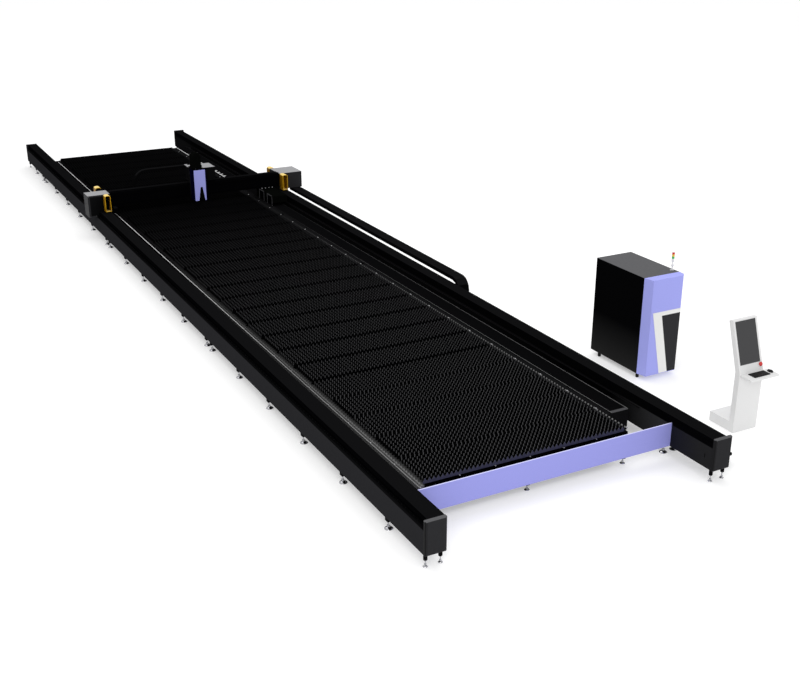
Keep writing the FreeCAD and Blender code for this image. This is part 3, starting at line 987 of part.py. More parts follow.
# ---------------------------------------------------------------- cabinet
cab_box = span("cab_box", "cab_left", "row_right", "cab_y", "cab_far", "cab_floor", "cab_top")
cab_room = span("cab_room", "cab_left + cab_wall", "row_right - cab_wall", "cab_y - cab_wall",
                "cab_far - cab_wall", "cab_floor + cab_wall", "cab_top - cab_wall")
feet = [prism("cab_foot_" + t_name, x, y, "0", "cab_foot_r", "cab_floor + cab_wall / 2", 10)
        for t_name, x, y in (
    ("a", "cab_left + cab_foot_inset", "cab_y + cab_foot_near"),
    ("b", "row_right - cab_foot_inset", "cab_y + cab_foot_near"),
    ("c", "cab_left + cab_foot_inset", "cab_far - cab_foot_far"),
    ("d", "row_right - cab_foot_inset", "cab_far - cab_foot_far"))]
node("cabinet_body", fuse("cabinet", cut("cab_shell", cab_box, cab_room), *feet))
units = [span("laser_source", "cab_mid - source_w / 2", "cab_mid + source_w / 2", "cab_y + source_back",
              "cab_y + source_back + source_deep", "cab_floor + cab_wall",
              "cab_floor + cab_wall + source_tall"),
         span("gear_plate", "cab_mid - gear_w / 2", "cab_mid + gear_w / 2", "gear_y", "gear_y + gear_thick",
              "gear_floor", "gear_floor + gear_tall")]
for i in range(DRIVE_COUNT):
    units.append(box("drive_%d" % i,
                     "cab_mid + (%s) * drive_pitch - drive_w / 2" % (i - (DRIVE_COUNT - 1) / 2),
                     "gear_y - drive_deep", "gear_floor + gear_tall - drive_tall - drive_down", "drive_w",
                     "drive_deep", "drive_tall"))
node("source_units", group("units", *units))
fascia = padded("fascia", "XY",
                [[("0", "fascia_deep"), ("fascia_edge", "fascia_deep - fascia_step"),
                  ("fascia_in", "0"), ("cab_w - fascia_out", "0"), ("cab_w - fascia_edge", "fascia_turn"),
                  ("cab_w", "fascia_deep")]],
                "cab_tall", ("cab_left", "fascia_y", "cab_floor"))
door_room = span("door_room", "fascia_left", "fascia_right", "fascia_y + door_wall", "cab_y + door_wall",
                 "cab_floor + door_wall", "cab_top - door_wall")
node("cabinet_door", cut("door", fascia, door_room))
white = padded("white_panel", "XZ",
               [[("0", "panel_top"), ("fascia_right - panel_left", "panel_top"),
                 ("fascia_right - panel_left", "panel_top - panel_band"),
                 ("inset_left - panel_left", "panel_top - panel_band"),
                 ("inset_foot_in - panel_in", "panel_floor"), ("panel_foot_in - panel_in", "panel_floor")]],
               "panel_thick", ("panel_left", "fascia_y - panel_thick", "0"))
node("door_white_panel", white)
inset = padded("dark_inset", "XZ",
               [[("trim_gap", "panel_top - panel_band - trim_gap"),
                 ("fascia_right - inset_left", "panel_top - panel_band - trim_gap"),
                 ("fascia_right - inset_left", "panel_floor"),
                 ("inset_foot_in - inset_in + trim_gap", "panel_floor")]],
               "inset_thick", ("inset_left", "fascia_y - inset_thick", "0"))
node("door_dark_inset", inset)


def disc(name, z, radius, length, sides=10):
    """A round part of the signal tower."""
    return prism(name, "tower_x", "tower_y", z, radius, length, sides)


stem_parts = [disc("tower_foot", "cab_top", "tower_flange_r", "tower_flange"),
              disc("tower_pole", "cab_top", "tower_pole_r", "housing_up + lens_tall", 8),
              disc("tower_joint", "tower_knuckle", "tower_knuckle_r", "tower_knuckle_tall"),
              disc("tower_housing", "housing_floor", "lens_r", "lens_up - housing_up"),
              disc("tower_lid", "lens_floor + 3 * lens_tall", "lens_r", "tower_cap"),
              disc("tower_core", "housing_floor", "tower_core_r",
                   "lens_up - housing_up + 3 * lens_tall + tower_cap", 6)]
node("tower_stem", fuse("tower", *stem_parts))
for i, colour in enumerate(("green", "yellow", "red")):
    z = "lens_floor + %d * lens_tall" % i
    node("lens_" + colour, cut("lens_ring_" + colour, disc("lens_disc_" + colour, z, "lens_r", "lens_tall"),
                               disc("lens_core_" + colour, z + " - tower_cap", "tower_core_r",
                                    "lens_tall + 2 * tower_cap", 6)))

# ---------------------------------------------------------------- console
lean_y = "con_y + (%s) * sin(lean_deg * 1deg)"
lean_z = "con_knee + (%s) * cos(lean_deg * 1deg)"
stand = padded("console_body", "YZ",
               [[("0", "0"), ("con_slab", "0"), ("con_slab", "con_base_floor"),
                 ("con_base_deep", "con_base_floor"), ("con_base_deep", "con_base_top"),
                 ("con_slab", "con_base_top"), ("con_slab", "con_knee + con_knee_up"),
                 ("con_lean * sin(lean_deg * 1deg) + con_top_deep",
                  "con_knee + con_lean * cos(lean_deg * 1deg) - con_top_drop"),
                 ("con_lean * sin(lean_deg * 1deg)", "con_knee + con_lean * cos(lean_deg * 1deg)"),
                 ("0", "con_knee")]],
               "con_w", ("con_left", "con_y", "0"))
shelf = box("shelf", "shelf_left", "shelf_y", "shelf_floor", "shelf_w", "shelf_deep + shelf_lap",
            "shelf_thick")
tilt = FreeCAD.Rotation(FreeCAD.Vector(1, 0, 0), -SIZES["lean_deg"])
facing = FreeCAD.Rotation(FreeCAD.Vector(1, 0, 0), 90 - SIZES["lean_deg"])


def on_panel(obj, x, up, out, turn):
    """Place an object on the leaning panel, up along it and out from its face."""
    obj.Placement.Rotation = turn
    return place(obj, x, lean_y % up + " - (%s) * cos(lean_deg * 1deg)" % out,
                 lean_z % up + " + (%s) * sin(lean_deg * 1deg)" % out)


stop_hole = doc.addObject("Part::Prism", "stop_hole")
stop_hole.Polygon = 10
bind(stop_hole, Circumradius=flats("stop_stem_r + stop_fit", 10), Height="stop_stem + 2 * stop_room")
on_panel(stop_hole, "stop_x", "stop_up", "-stop_stem - stop_room", facing)
node("console_stand", cut("console", fuse("console_mass", stand, shelf), stop_hole))

screen = doc.addObject("Part::Box", "screen")
bind(screen, Length="screen_w", Width="screen_thick", Height="screen_tall")
on_panel(screen, "screen_left", "screen_up", "screen_thick", tilt)
node("console_screen", screen)

node("keyboard", box("keys", "key_left", "key_y", "shelf_top", "key_w", "key_deep", "key_tall"))

mouse = padded("mouse_body", "YZ",
               [[("0", "0"), ("mouse_len", "0"), ("mouse_len", "mouse_tall - mouse_bevel"),
                 ("mouse_len - 2 * mouse_bevel", "mouse_tall"), ("2 * mouse_bevel", "mouse_tall"),
                 ("0", "mouse_tall - 2 * mouse_bevel")]],
               "mouse_w", ("mouse_x", "mouse_y", "shelf_top"))
bevelled(mouse,
         lambda e: along(e, FreeCAD.Vector(0, 1, 0)) and e.Vertexes[0].Point.z > SIZES["mouse_bevel"],
         "mouse_bevel / 2")
node("mouse", mouse)

stop_stem = doc.addObject("Part::Prism", "stop_plunger")
stop_stem.Polygon = 10
bind(stop_stem, Circumradius="stop_stem_r", Height="stop_stem + stop_gap + stop_cap / 2")
on_panel(stop_stem, "stop_x", "stop_up", "-stop_stem", facing)
stop_head = doc.addObject("Part::Prism", "stop_head")
stop_head.Polygon = 16
bind(stop_head, Circumradius="stop_r", Height="stop_cap")
on_panel(stop_head, "stop_x", "stop_up", "stop_gap", facing)
node("stop_button", fuse("stop_set", stop_stem, stop_head))

# ---------------------------------------------------------------- write
doc.recompute()
bad = [o.Name for o in doc.Objects if "Invalid" in o.State or "Error" in o.State]
if bad:
    raise RuntimeError("objects in error: %s" % ", ".join(bad))
for obj in NODES:
    if obj.Shape.isNull() or not obj.Shape.isValid() or not obj.Shape.Solids:
        raise RuntimeError("bad shape in " + obj.Label)
    obj.Shape.exportStep("parts/%s.step" % obj.Label)
    b = obj.Shape.BoundBox
    print("%-22s solids %4d  x %8.1f %8.1f  y %9.1f %9.1f  z %7.1f %7.1f  vol %.4f" % (
        obj.Label, len(obj.Shape.Solids), b.XMin, b.XMax, b.YMin, b.YMax, b.ZMin, b.ZMax,
        obj.Shape.Volume / 1e9))
print("nodes", len(NODES))
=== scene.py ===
import math

import bmesh
import bpy
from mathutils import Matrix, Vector
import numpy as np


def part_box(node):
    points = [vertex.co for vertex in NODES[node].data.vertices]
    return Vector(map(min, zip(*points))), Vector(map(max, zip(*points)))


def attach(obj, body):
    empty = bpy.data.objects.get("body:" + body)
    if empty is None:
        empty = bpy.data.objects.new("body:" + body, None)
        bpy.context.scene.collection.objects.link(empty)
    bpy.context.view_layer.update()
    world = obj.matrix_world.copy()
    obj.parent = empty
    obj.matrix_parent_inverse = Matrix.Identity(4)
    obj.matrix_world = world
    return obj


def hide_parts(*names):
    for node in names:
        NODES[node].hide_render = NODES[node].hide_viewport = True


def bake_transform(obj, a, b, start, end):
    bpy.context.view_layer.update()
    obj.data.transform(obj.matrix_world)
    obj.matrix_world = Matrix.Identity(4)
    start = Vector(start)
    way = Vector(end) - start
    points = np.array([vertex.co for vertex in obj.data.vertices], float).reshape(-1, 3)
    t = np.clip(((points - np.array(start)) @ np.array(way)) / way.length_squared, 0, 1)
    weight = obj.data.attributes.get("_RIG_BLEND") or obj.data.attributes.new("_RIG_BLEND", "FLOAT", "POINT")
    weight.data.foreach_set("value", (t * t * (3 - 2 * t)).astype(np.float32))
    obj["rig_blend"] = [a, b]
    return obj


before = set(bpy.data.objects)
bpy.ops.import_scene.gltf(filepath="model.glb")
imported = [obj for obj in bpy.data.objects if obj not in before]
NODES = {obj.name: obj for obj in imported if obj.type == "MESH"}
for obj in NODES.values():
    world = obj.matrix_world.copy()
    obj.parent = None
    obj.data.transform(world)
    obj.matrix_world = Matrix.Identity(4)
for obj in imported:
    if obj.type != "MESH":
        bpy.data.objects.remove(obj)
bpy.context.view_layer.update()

# Lengths are millimetres from the bed's datum, the outer face of the left rail, the near end and the
# floor, unless a comment says metres. Metres are the frame's own.
SHIFT = Vector((3.255, 12.219, 0.0))
TURN = 2 * math.pi


def at(x, y, z):
    """Datum millimetres to the frame's metres."""
    return Vector((x / 1000, y / 1000, z / 1000)) - SHIFT


def datum(axis, value):
    """A place along an axis, from datum millimetres to the frame's metres."""
    return value / 1000 - SHIFT["xyz".index(axis)]


def extent(node):
    """Low and high corner of a node in datum millimetres."""
    return [[(corner[i] + SHIFT[i]) * 1000 for i in range(3)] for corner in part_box(node)]


def solids(node):
    """Low and high corner of each separate solid of a node, in datum millimetres."""
    mesh = NODES[node].data
    spots = [tuple(round(c, 5) for c in v.co) for v in mesh.vertices]
    head = {spot: spot for spot in spots}

    def top(spot):
        while head[spot] != spot:
            head[spot] = head[head[spot]]
            spot = head[spot]
        return spot

    for poly in mesh.polygons:
        first = top(spots[poly.vertices[0]])
        for index in poly.vertices[1:]:
            head[top(spots[index])] = first
    groups = {}
    for spot in head:
        groups.setdefault(top(spot), []).append(spot)
    boxes = []
    for group in groups.values():
        low = [(min(p[i] for p in group) + SHIFT[i]) * 1000 for i in range(3)]
        high = [(max(p[i] for p in group) + SHIFT[i]) * 1000 for i in range(3)]
        boxes.append((low, high))
    return sorted(boxes)


def middle(box):
    low, high = box
    return [(low[i] + high[i]) / 2 for i in range(3)]


# ------------------------------------------------------------------ camera
CAMERA_PLACE = (-5627, -9941, 7558)
LENS, SENSOR = 49.99, 36.0
LOOK_DOWN, LOOK_RIGHT = 22.26, 27.98    # degrees below level and right of the bed's axis
SIGHT = 200                             # metres

cam = bpy.data.cameras.new("camera")
cam.lens = LENS
cam.sensor_width = SENSOR
cam.clip_end = SIGHT
cam_obj = bpy.data.objects.new("camera", cam)
bpy.context.scene.collection.objects.link(cam_obj)
cam_obj.location = at(*CAMERA_PLACE)
cam_obj.rotation_euler = (math.radians(90 - LOOK_DOWN), 0, math.radians(-LOOK_RIGHT))
bpy.context.scene.camera = cam_obj
bpy.context.scene.view_settings.view_transform = "Standard"

# ------------------------------------------------------------------ light
WORLD_LIGHT = 0.9

world = bpy.data.worlds.new("studio")
bpy.context.scene.world = world
world.use_nodes = True
background = world.node_tree.nodes["Background"]
background.inputs["Color"].default_value = (1.0, 1.0, 1.0, 1)
background.inputs["Strength"].default_value = WORLD_LIGHT


def area(name, place, aim, size, power):
    """A rectangular lamp, in metres and watts."""
    light = bpy.data.lights.new(name, "AREA")
    light.shape = "RECTANGLE"
    light.size, light.size_y = size
    light.energy = power
    obj = bpy.data.objects.new(name, light)
    bpy.context.scene.collection.objects.link(obj)
    obj.location = place
    obj.rotation_euler = (Vector(aim) - Vector(place)).to_track_quat("-Z", "Y").to_euler()


area("top_light", (2, 0, 18), (0, 0, 0), (14, 30), 1500)
area("near_light", (-10, -22, 10), (1, -6, 0.5), (9, 9), 900)

# ------------------------------------------------------------------ paints
WEAR = 0.06             # how far the roughness strays to each side
DENT = 0.0006           # metres, depth of the bump
CLOUD = 12              # how much larger the patches of gloss are than the grain
SHEEN = 0.5             # reflection of metals and glossy plastics; the black paints have next to none


def srgb(*colour):
    """Linear colour of three values from 0 to 255."""
    return tuple((v / 255) / 12.92 if v / 255 <= 0.04045 else ((v / 255 + 0.055) / 1.055) ** 2.4
                 for v in colour)


def material(name, colour, rough=0.5, grain=0.05, scale=40, bump=0.05, spec=0.0, metal=0, coat=0,
             stretch=(1, 1, 1), fade=(), zones=()):
    """Paint, plastic or metal with a fine uneven tint, gloss and surface.

    A fade (source, start, end, colour, share) leads to another colour between two places. A zone
    (source, limit, colour) then repaints what lies past the limit. The sources x, y and z are metres;
    up and right are the normal's parts.
    """
    mat = bpy.data.materials.new(name)
    mat.use_nodes = True
    tree = mat.node_tree
    link = tree.links.new
    shader = tree.nodes["Principled BSDF"]
    shader.inputs["Metallic"].default_value = metal
    shader.inputs["Coat Weight"].default_value = coat
    shader.inputs["Specular IOR Level"].default_value = spec
    coord = tree.nodes.new("ShaderNodeTexCoord")
    mapping = tree.nodes.new("ShaderNodeMapping")
    mapping.inputs["Scale"].default_value = stretch
    link(coord.outputs["Object"], mapping.inputs["Vector"])
    noise = tree.nodes.new("ShaderNodeTexNoise")
    noise.inputs["Scale"].default_value = scale
    noise.inputs["Detail"].default_value = 5
    link(mapping.outputs["Vector"], noise.inputs["Vector"])
    cloud = tree.nodes.new("ShaderNodeTexNoise")
    cloud.inputs["Scale"].default_value = scale / CLOUD
    cloud.inputs["Detail"].default_value = 3
    link(mapping.outputs["Vector"], cloud.inputs["Vector"])
    place = tree.nodes.new("ShaderNodeSeparateXYZ")
    link(coord.outputs["Object"], place.inputs["Vector"])
    geometry = tree.nodes.new("ShaderNodeNewGeometry")
    facing = tree.nodes.new("ShaderNodeSeparateXYZ")
    link(geometry.outputs["Normal"], facing.inputs["Vector"])
    sources = {"x": place.outputs["X"], "y": place.outputs["Y"], "z": place.outputs["Z"],
               "up": facing.outputs["Z"], "right": facing.outputs["X"]}

    def tint(paint):
        ramp = tree.nodes.new("ShaderNodeValToRGB")
        dark, light = ramp.color_ramp.elements
        dark.position, light.position = 0.3, 0.7
        dark.color = (*[c * (1 - grain) for c in paint], 1)
        light.color = (*[min(1.0, c * (1 + grain)) for c in paint], 1)
        link(noise.outputs["Fac"], ramp.inputs["Fac"])
        return ramp.outputs["Color"]

    def mixed(first, second, share):
        mix = tree.nodes.new("ShaderNodeMix")
        mix.data_type = "RGBA"
        link(first, mix.inputs["A"])
        link(second, mix.inputs["B"])
        link(share, mix.inputs["Factor"])
        return mix.outputs["Result"]

    result = tint(colour)
    for source, start, end, paint, share in fade:
        spread_out = tree.nodes.new("ShaderNodeMapRange")
        spread_out.inputs["From Min"].default_value = start
        spread_out.inputs["From Max"].default_value = end
        spread_out.inputs["To Max"].default_value = share
        link(sources[source], spread_out.inputs["Value"])
        result = mixed(result, tint(paint), spread_out.outputs["Result"])
    for source, limit, paint in zones:
        past = tree.nodes.new("ShaderNodeMath")
        past.operation = "GREATER_THAN"
        past.inputs[1].default_value = limit
        link(sources[source], past.inputs[0])
        result = mixed(result, tint(paint), past.outputs[0])
    link(result, shader.inputs["Base Color"])
    gloss = tree.nodes.new("ShaderNodeMapRange")
    gloss.inputs["To Min"].default_value = max(0.03, rough - WEAR)
    gloss.inputs["To Max"].default_value = min(1.0, rough + WEAR)
    link(cloud.outputs["Fac"], gloss.inputs["Value"])
    link(gloss.outputs["Result"], shader.inputs["Roughness"])
    if bump:
        dent = tree.nodes.new("ShaderNodeBump")
        dent.inputs["Strength"].default_value = bump
        dent.inputs["Distance"].default_value = DENT
        link(noise.outputs["Fac"], dent.inputs["Height"])
        link(dent.outputs["Normal"], shader.inputs["Normal"])
    return mat


slat_low, slat_high = extent("slats")
cover_low, cover_high = extent("head_cover")
RAIL_SEAM = 339.3       # from a rail's underside to the seam between its two tubes
seam = datum("z", extent("left_rail")[0][2] + RAIL_SEAM)
table_start = datum("y", slat_low[1])
# The darkest black: the gantry beam's own paint, and painted shade in the rails' recesses, on guide rails,
# racks and slats.
DEEP = srgb(4, 4, 5)
# Black of faces that look up: painted shade on the rails' tops, painted light on the beam's top, the saddle
# box's own black on its sides.
TOP = srgb(15, 15, 16)
RAIL_SIDE = srgb(37, 37, 39)
MID_GREY = srgb(38, 38, 40)
# Painted light on the tops of the covers and the saddle box.
LIT_SHEET_TOP = srgb(150, 150, 152)
# Painted shade on the lilac head cover's sides and edges.
SHADED_LILAC = srgb(3, 3, 26)
# Painted light along the table's left edge, from the floor seen between rail and table.
LEFT_EDGE_LIGHT = srgb(112, 112, 112)

# The gradients along y and z stand for the reflections and the falloff of light in the photograph.
M = {
    # Above the seam the recess is painted near-black, and the tops are painted darker than the sides: painted
    # shade.
    "rail": material("rail_paint", RAIL_SIDE, grain=0.04, scale=30,
                     zones=[("z", seam, DEEP), ("up", 0.5, TOP)]),
    # Inner face painted darker than the outer as painted shade: a painted bluish reflection of the lilac beam
    # near the end, a painted highlight at the join, then deeper painted shade along the bed.
    # The outer face, the recess and the top take the left rail's painted tones.
    "inner_rail": material("inner_rail_paint", srgb(31, 31, 32), grain=0.04, scale=30,
                           fade=[("y", datum("y", 300), datum("y", 950), srgb(24, 24, 34), 1.0),
                                 ("y", datum("y", 958), datum("y", 962), srgb(44, 44, 45), 1.0),
                                 ("y", datum("y", 1150), datum("y", 2300), DEEP, 1.0),
                                 ("y", datum("y", 3200), datum("y", 6000), srgb(13, 13, 14), 1.0)],
                           zones=[("right", 0.5, RAIL_SIDE), ("z", seam, DEEP), ("up", 0.5, TOP)]),
    # Faces towards the front and right, and the tops, are painted lighter than the left faces: painted light.
    "cap": material("cap_paint", srgb(24, 24, 25), rough=0.4, scale=30, spec=0.02,
                    zones=[("right", -0.3, MID_GREY), ("up", 0.3, srgb(84, 84, 86))]),
    "black": material("black_paint", srgb(11, 11, 12), rough=0.45, grain=0.06, spec=0.01),
    # The top is painted lighter than the near-black sides: painted light.
    "beam": material("beam_paint", DEEP, grain=0.06, scale=30, bump=0.1, zones=[("up", 0.5, TOP)]),
    "charcoal": material("charcoal_paint", srgb(26, 26, 28), spec=0.01),
    # The top is painted lighter: painted highlight.
    "lilac": material("lilac_paint", srgb(146, 148, 214), rough=0.45, grain=0.015, scale=60, bump=0.03,
                      spec=0.03, zones=[("up", 0.5, srgb(205, 206, 245))]),
    # Lilac between dark navy strips at the left and right: painted shade on the cover's sides and edges.
    "head": material("head_cover_paint", SHADED_LILAC, rough=0.4, grain=0.03, scale=60, bump=0.03,
                     zones=[("x", datum("x", cover_low[0] + 14), srgb(160, 163, 232)),
                            ("x", datum("x", cover_high[0] - 30), SHADED_LILAC)]),
    "hood": material("hood_paint", srgb(6, 7, 6), grain=0.06, scale=30),
    "leg": material("leg_paint", MID_GREY, grain=0.04, scale=30),
    "door": material("door_paint", srgb(160, 164, 233), rough=0.45, grain=0.015, scale=60, bump=0.03,
                     spec=0.03),
    "white": material("white_paint", srgb(220, 220, 220), grain=0.01, scale=60, bump=0.03, spec=0.03),
    "panel": material("panel_paint", srgb(228, 228, 226), rough=0.45, grain=0.01, scale=60, bump=0.03,
                      spec=0.03),
    "inset": material("inset_paint", srgb(50, 50, 52)),
    "chrome": material("zinc_plate", srgb(176, 176, 180), rough=0.14, grain=0.06, scale=90, spec=SHEEN,
                       metal=1),
    "bright": material("bright_steel", srgb(190, 190, 192), rough=0.3, scale=60, spec=SHEEN, metal=0.7),
    # Guide rails and racks painted near-black: painted shade in the recesses.
    "ground": material("steel_in_painted_shade", DEEP, grain=0.06, scale=90, bump=0.08, stretch=(1, 0.05, 1)),
    "spur": material("ground_steel", srgb(96, 96, 99), rough=0.28, grain=0.06, scale=90, bump=0.08,
                     spec=SHEEN, metal=1),
    # The slats' cut faces: near-black as painted shade, a lighter band at the tooth tips as painted
    # highlight, darker along the bed as painted falloff of light.
    "edge": material("slat_edge_shade_and_highlight", DEEP, grain=0.06, scale=60, bump=0.2,
                     fade=[("z", 0.55, 0.562, srgb(96, 96, 96), 1.0),
                           ("y", table_start, datum("y", 15000), srgb(20, 20, 20), 0.95)]),
    "lug": material("lug_steel", srgb(120, 120, 120), grain=0.2, scale=120, bump=0.2,
                    fade=[("y", table_start, datum("y", 14000), srgb(22, 22, 22), 0.95)]),
    # A bright strip for the lit floor seen between the left rail and the table, lighter further along:
    # painted light.
    "strip": material("painted_floor_light", srgb(140, 140, 140), rough=0.4, scale=60,
                      fade=[("y", datum("y", 5000), datum("y", 14000), srgb(235, 235, 235), 1.0)]),
    "tab": material("tab_paint", srgb(70, 70, 72), scale=60),
    # Near-black as painted shade; lighter at the left ends and at the tooth tips as painted light, darker
    # along the bed.
    "slat": material("slat_steel", DEEP, rough=0.6, grain=0.06, scale=26, bump=0.1,
                     fade=[("x", datum("x", slat_low[0] + 45), datum("x", slat_low[0]), LEFT_EDGE_LIGHT, 1.0),
                           ("z", 0.5, 0.555, srgb(3, 3, 4), 1.0),
                           ("z", 0.547, 0.556, srgb(80, 80, 82), 1.0),
                           ("y", table_start, datum("y", 15000), srgb(3, 3, 4), 0.93)]),
    "dim": material("dim_steel", DEEP, rough=0.6, grain=0.06, scale=26, bump=0.2),
    # The first slat is painted bluish grey: painted reflection of the lilac beam.
    "plate": material("first_slat_lilac_reflection", srgb(60, 60, 78), grain=0.15, scale=26, bump=0.2, spec=0.05),
    # Lighter at the left edge: painted light from the floor seen beside the table; a little lighter along the
    # bed.
    "frame": material("frame_paint", srgb(9, 9, 10), rough=0.55, grain=0.02, scale=20, bump=0,
                      fade=[("x", datum("x", slat_low[0] + 15), datum("x", slat_low[0] - 15), LEFT_EDGE_LIGHT,
                             0.95),
                            ("y", table_start, datum("y", 12000), srgb(14, 14, 15), 1.0)]),
    # Near-black: painted shade under the slats.
    "pan": material("pan_steel", srgb(8, 8, 8), rough=0.7, grain=0.3, scale=9, bump=0.3),
    "duct": material("duct_paint", srgb(19, 19, 20), scale=14, bump=0.08),
    "belt": material("belt_rubber", srgb(9, 9, 10), rough=0.7, grain=0.1, scale=50, bump=0.3),
    # The tops are painted lighter: painted highlight.
    "chain": material("chain_plastic", srgb(8, 8, 9), grain=0.08, scale=60, bump=0.1,
                      zones=[("up", 0.6, srgb(19, 19, 20))]),
    # Faces towards the left are painted darker and the tops lighter: painted shade and painted light.
    "gold": material("golden_paint", srgb(126, 90, 6), rough=0.4, grain=0.04, bump=0.03, spec=0.1,
                     zones=[("right", -0.5, srgb(200, 154, 24)), ("up", 0.5, srgb(236, 206, 120))]),
    "alloy": material("dark_alloy", srgb(60, 60, 64), rough=0.35, scale=60, spec=SHEEN, metal=0.7),
    "brass": material("nozzle_copper", srgb(200, 150, 105), rough=0.25, scale=60, spec=SHEEN, metal=1),
    "unit": material("unit_paint", srgb(120, 120, 122), grain=0.04, scale=30, spec=SHEEN),
    # The tops are painted light grey: painted light.
    "cover": material("cover_paint", MID_GREY, rough=0.45, grain=0.04, spec=0.02,
                      zones=[("up", 0.6, LIT_SHEET_TOP)]),
    "box": material("box_paint", TOP, rough=0.45, grain=0.04, zones=[("up", 0.6, LIT_SHEET_TOP)]),
    # Lighter towards the floor and on the top: painted light.
    "cabinet": material("cabinet_paint", srgb(6, 6, 7), scale=30, bump=0.08,
                        fade=[("z", 0.85, 0.1, srgb(36, 36, 36), 1.0)],
                        zones=[("up", 0.6, srgb(92, 92, 94))]),
    "screen": material("screen_glass", srgb(44, 44, 46), rough=0.12, grain=0.02, scale=10, bump=0,
                       spec=0.3, coat=0.4),
    "key": material("key_plastic", srgb(16, 16, 17), scale=90, bump=0.2, spec=0.2),
    "red": material("stop_red", srgb(196, 16, 14), rough=0.25, grain=0.02, scale=60, bump=0.02, spec=SHEEN,
                    coat=0.4),
}
LENSES = {"green": (60, 176, 96), "yellow": (232, 196, 60), "red": (206, 36, 38)}
for colour, values in LENSES.items():
    M["lens_" + colour] = material("lens_%s_plastic" % colour, srgb(*values), rough=0.2, grain=0.02, scale=60,
                                   bump=0.02, spec=SHEEN, coat=0.4)

# Each paint's nodes.
DRESS = {
    "rail": ["left_rail"],
    "inner_rail": ["right_rail"],
    "charcoal": ["rear_cross_beams", "y_servos", "saddle_servos", "z_slide"],
    "black": ["carriage_left", "carriage_right", "saddle", "y_chain_tray", "guide_blocks", "z_drive_cover",
              "rail_end_caps"],
    "hood": ["suction_hood"],
    "leg": ["rail_legs"],
    "beam": ["gantry_beam"],
    "lilac": ["near_cross_beam"],
    "head": ["head_cover"],
    "door": ["cabinet_door"],
    "panel": ["door_white_panel"],
    "white": ["console_stand", "tower_stem"],
    "chrome": ["foot_pads", "nozzle"],
    "slat": ["slats", "slat_supports"],
    "ground": ["gantry_guide_rails", "x_guides_and_rack", "z_screw", "gear_racks", "pinion_left",
               "pinion_right", "x_pinion"],
    "frame": ["table_frame"],
    "pan": ["slag_pans"],
    "duct": ["extraction_duct"],
    "belt": ["duct_belt"],
    "chain": ["y_chain_upper_run", "y_chain_lower_run", "y_chain_upper_bend", "y_chain_lower_bend",
              "x_chain_upper_run", "x_chain_lower_run", "x_chain_upper_bend", "x_chain_lower_bend"],
    "gold": ["bumpers"],
    "alloy": ["cutting_head"],
    "cover": ["cover_left", "cover_right"],
    "box": ["saddle_box"],
    "cabinet": ["cabinet_body"],
    "unit": ["source_units"],
    "inset": ["door_dark_inset"],
    "screen": ["console_screen"],
    "key": ["keyboard", "mouse"],
    "red": ["stop_button"],
    "lens_red": ["lens_red"],
    "lens_yellow": ["lens_yellow"],
    "lens_green": ["lens_green"],
}
for key, names in DRESS.items():
    for name in names:
        node = NODES[name]
        if not node.material_slots:
            node.data.materials.append(M[key])
        for spot in node.material_slots:
            spot.material = M[key]

# ------------------------------------------------------------------ shapes
BEVEL_FROM = 40         # degrees between two faces
TINY = 1e-6             # metres, an edge that is dissolved
WASHER = 1.35           # a washer's radius, against its bolt's


def spread(axis, u, v, w):
    """Two coordinates across an axis and one along it, as a point."""
    return {"x": (w, u, v), "y": (u, w, v), "z": (u, v, w)}[axis]


def rounded(u0, u1, v0, v1, radius, steps):
    """A rectangle's outline with round corners."""
    out = []
    for cu, cv, start in ((u1 - radius, v0 + radius, -0.25), (u1 - radius, v1 - radius, 0.0),
                          (u0 + radius, v1 - radius, 0.25), (u0 + radius, v0 + radius, 0.5)):
        for k in range(steps + 1):
            angle = TURN * (start + 0.25 * k / steps)
            out.append((cu + radius * math.cos(angle), cv + radius * math.sin(angle)))
    return out


def rounded_rings(axis, low, high, radius, steps, levels):
    """A round-cornered rectangle at each level (place along the axis, inset)."""
    a, b = [i for i in range(3) if i != "xyz".index(axis)]
    return [[spread(axis, u, v, place) for u, v in
             rounded(low[a] + inset, high[a] - inset, low[b] + inset, high[b] - inset, radius, steps)]
            for place, inset in levels]


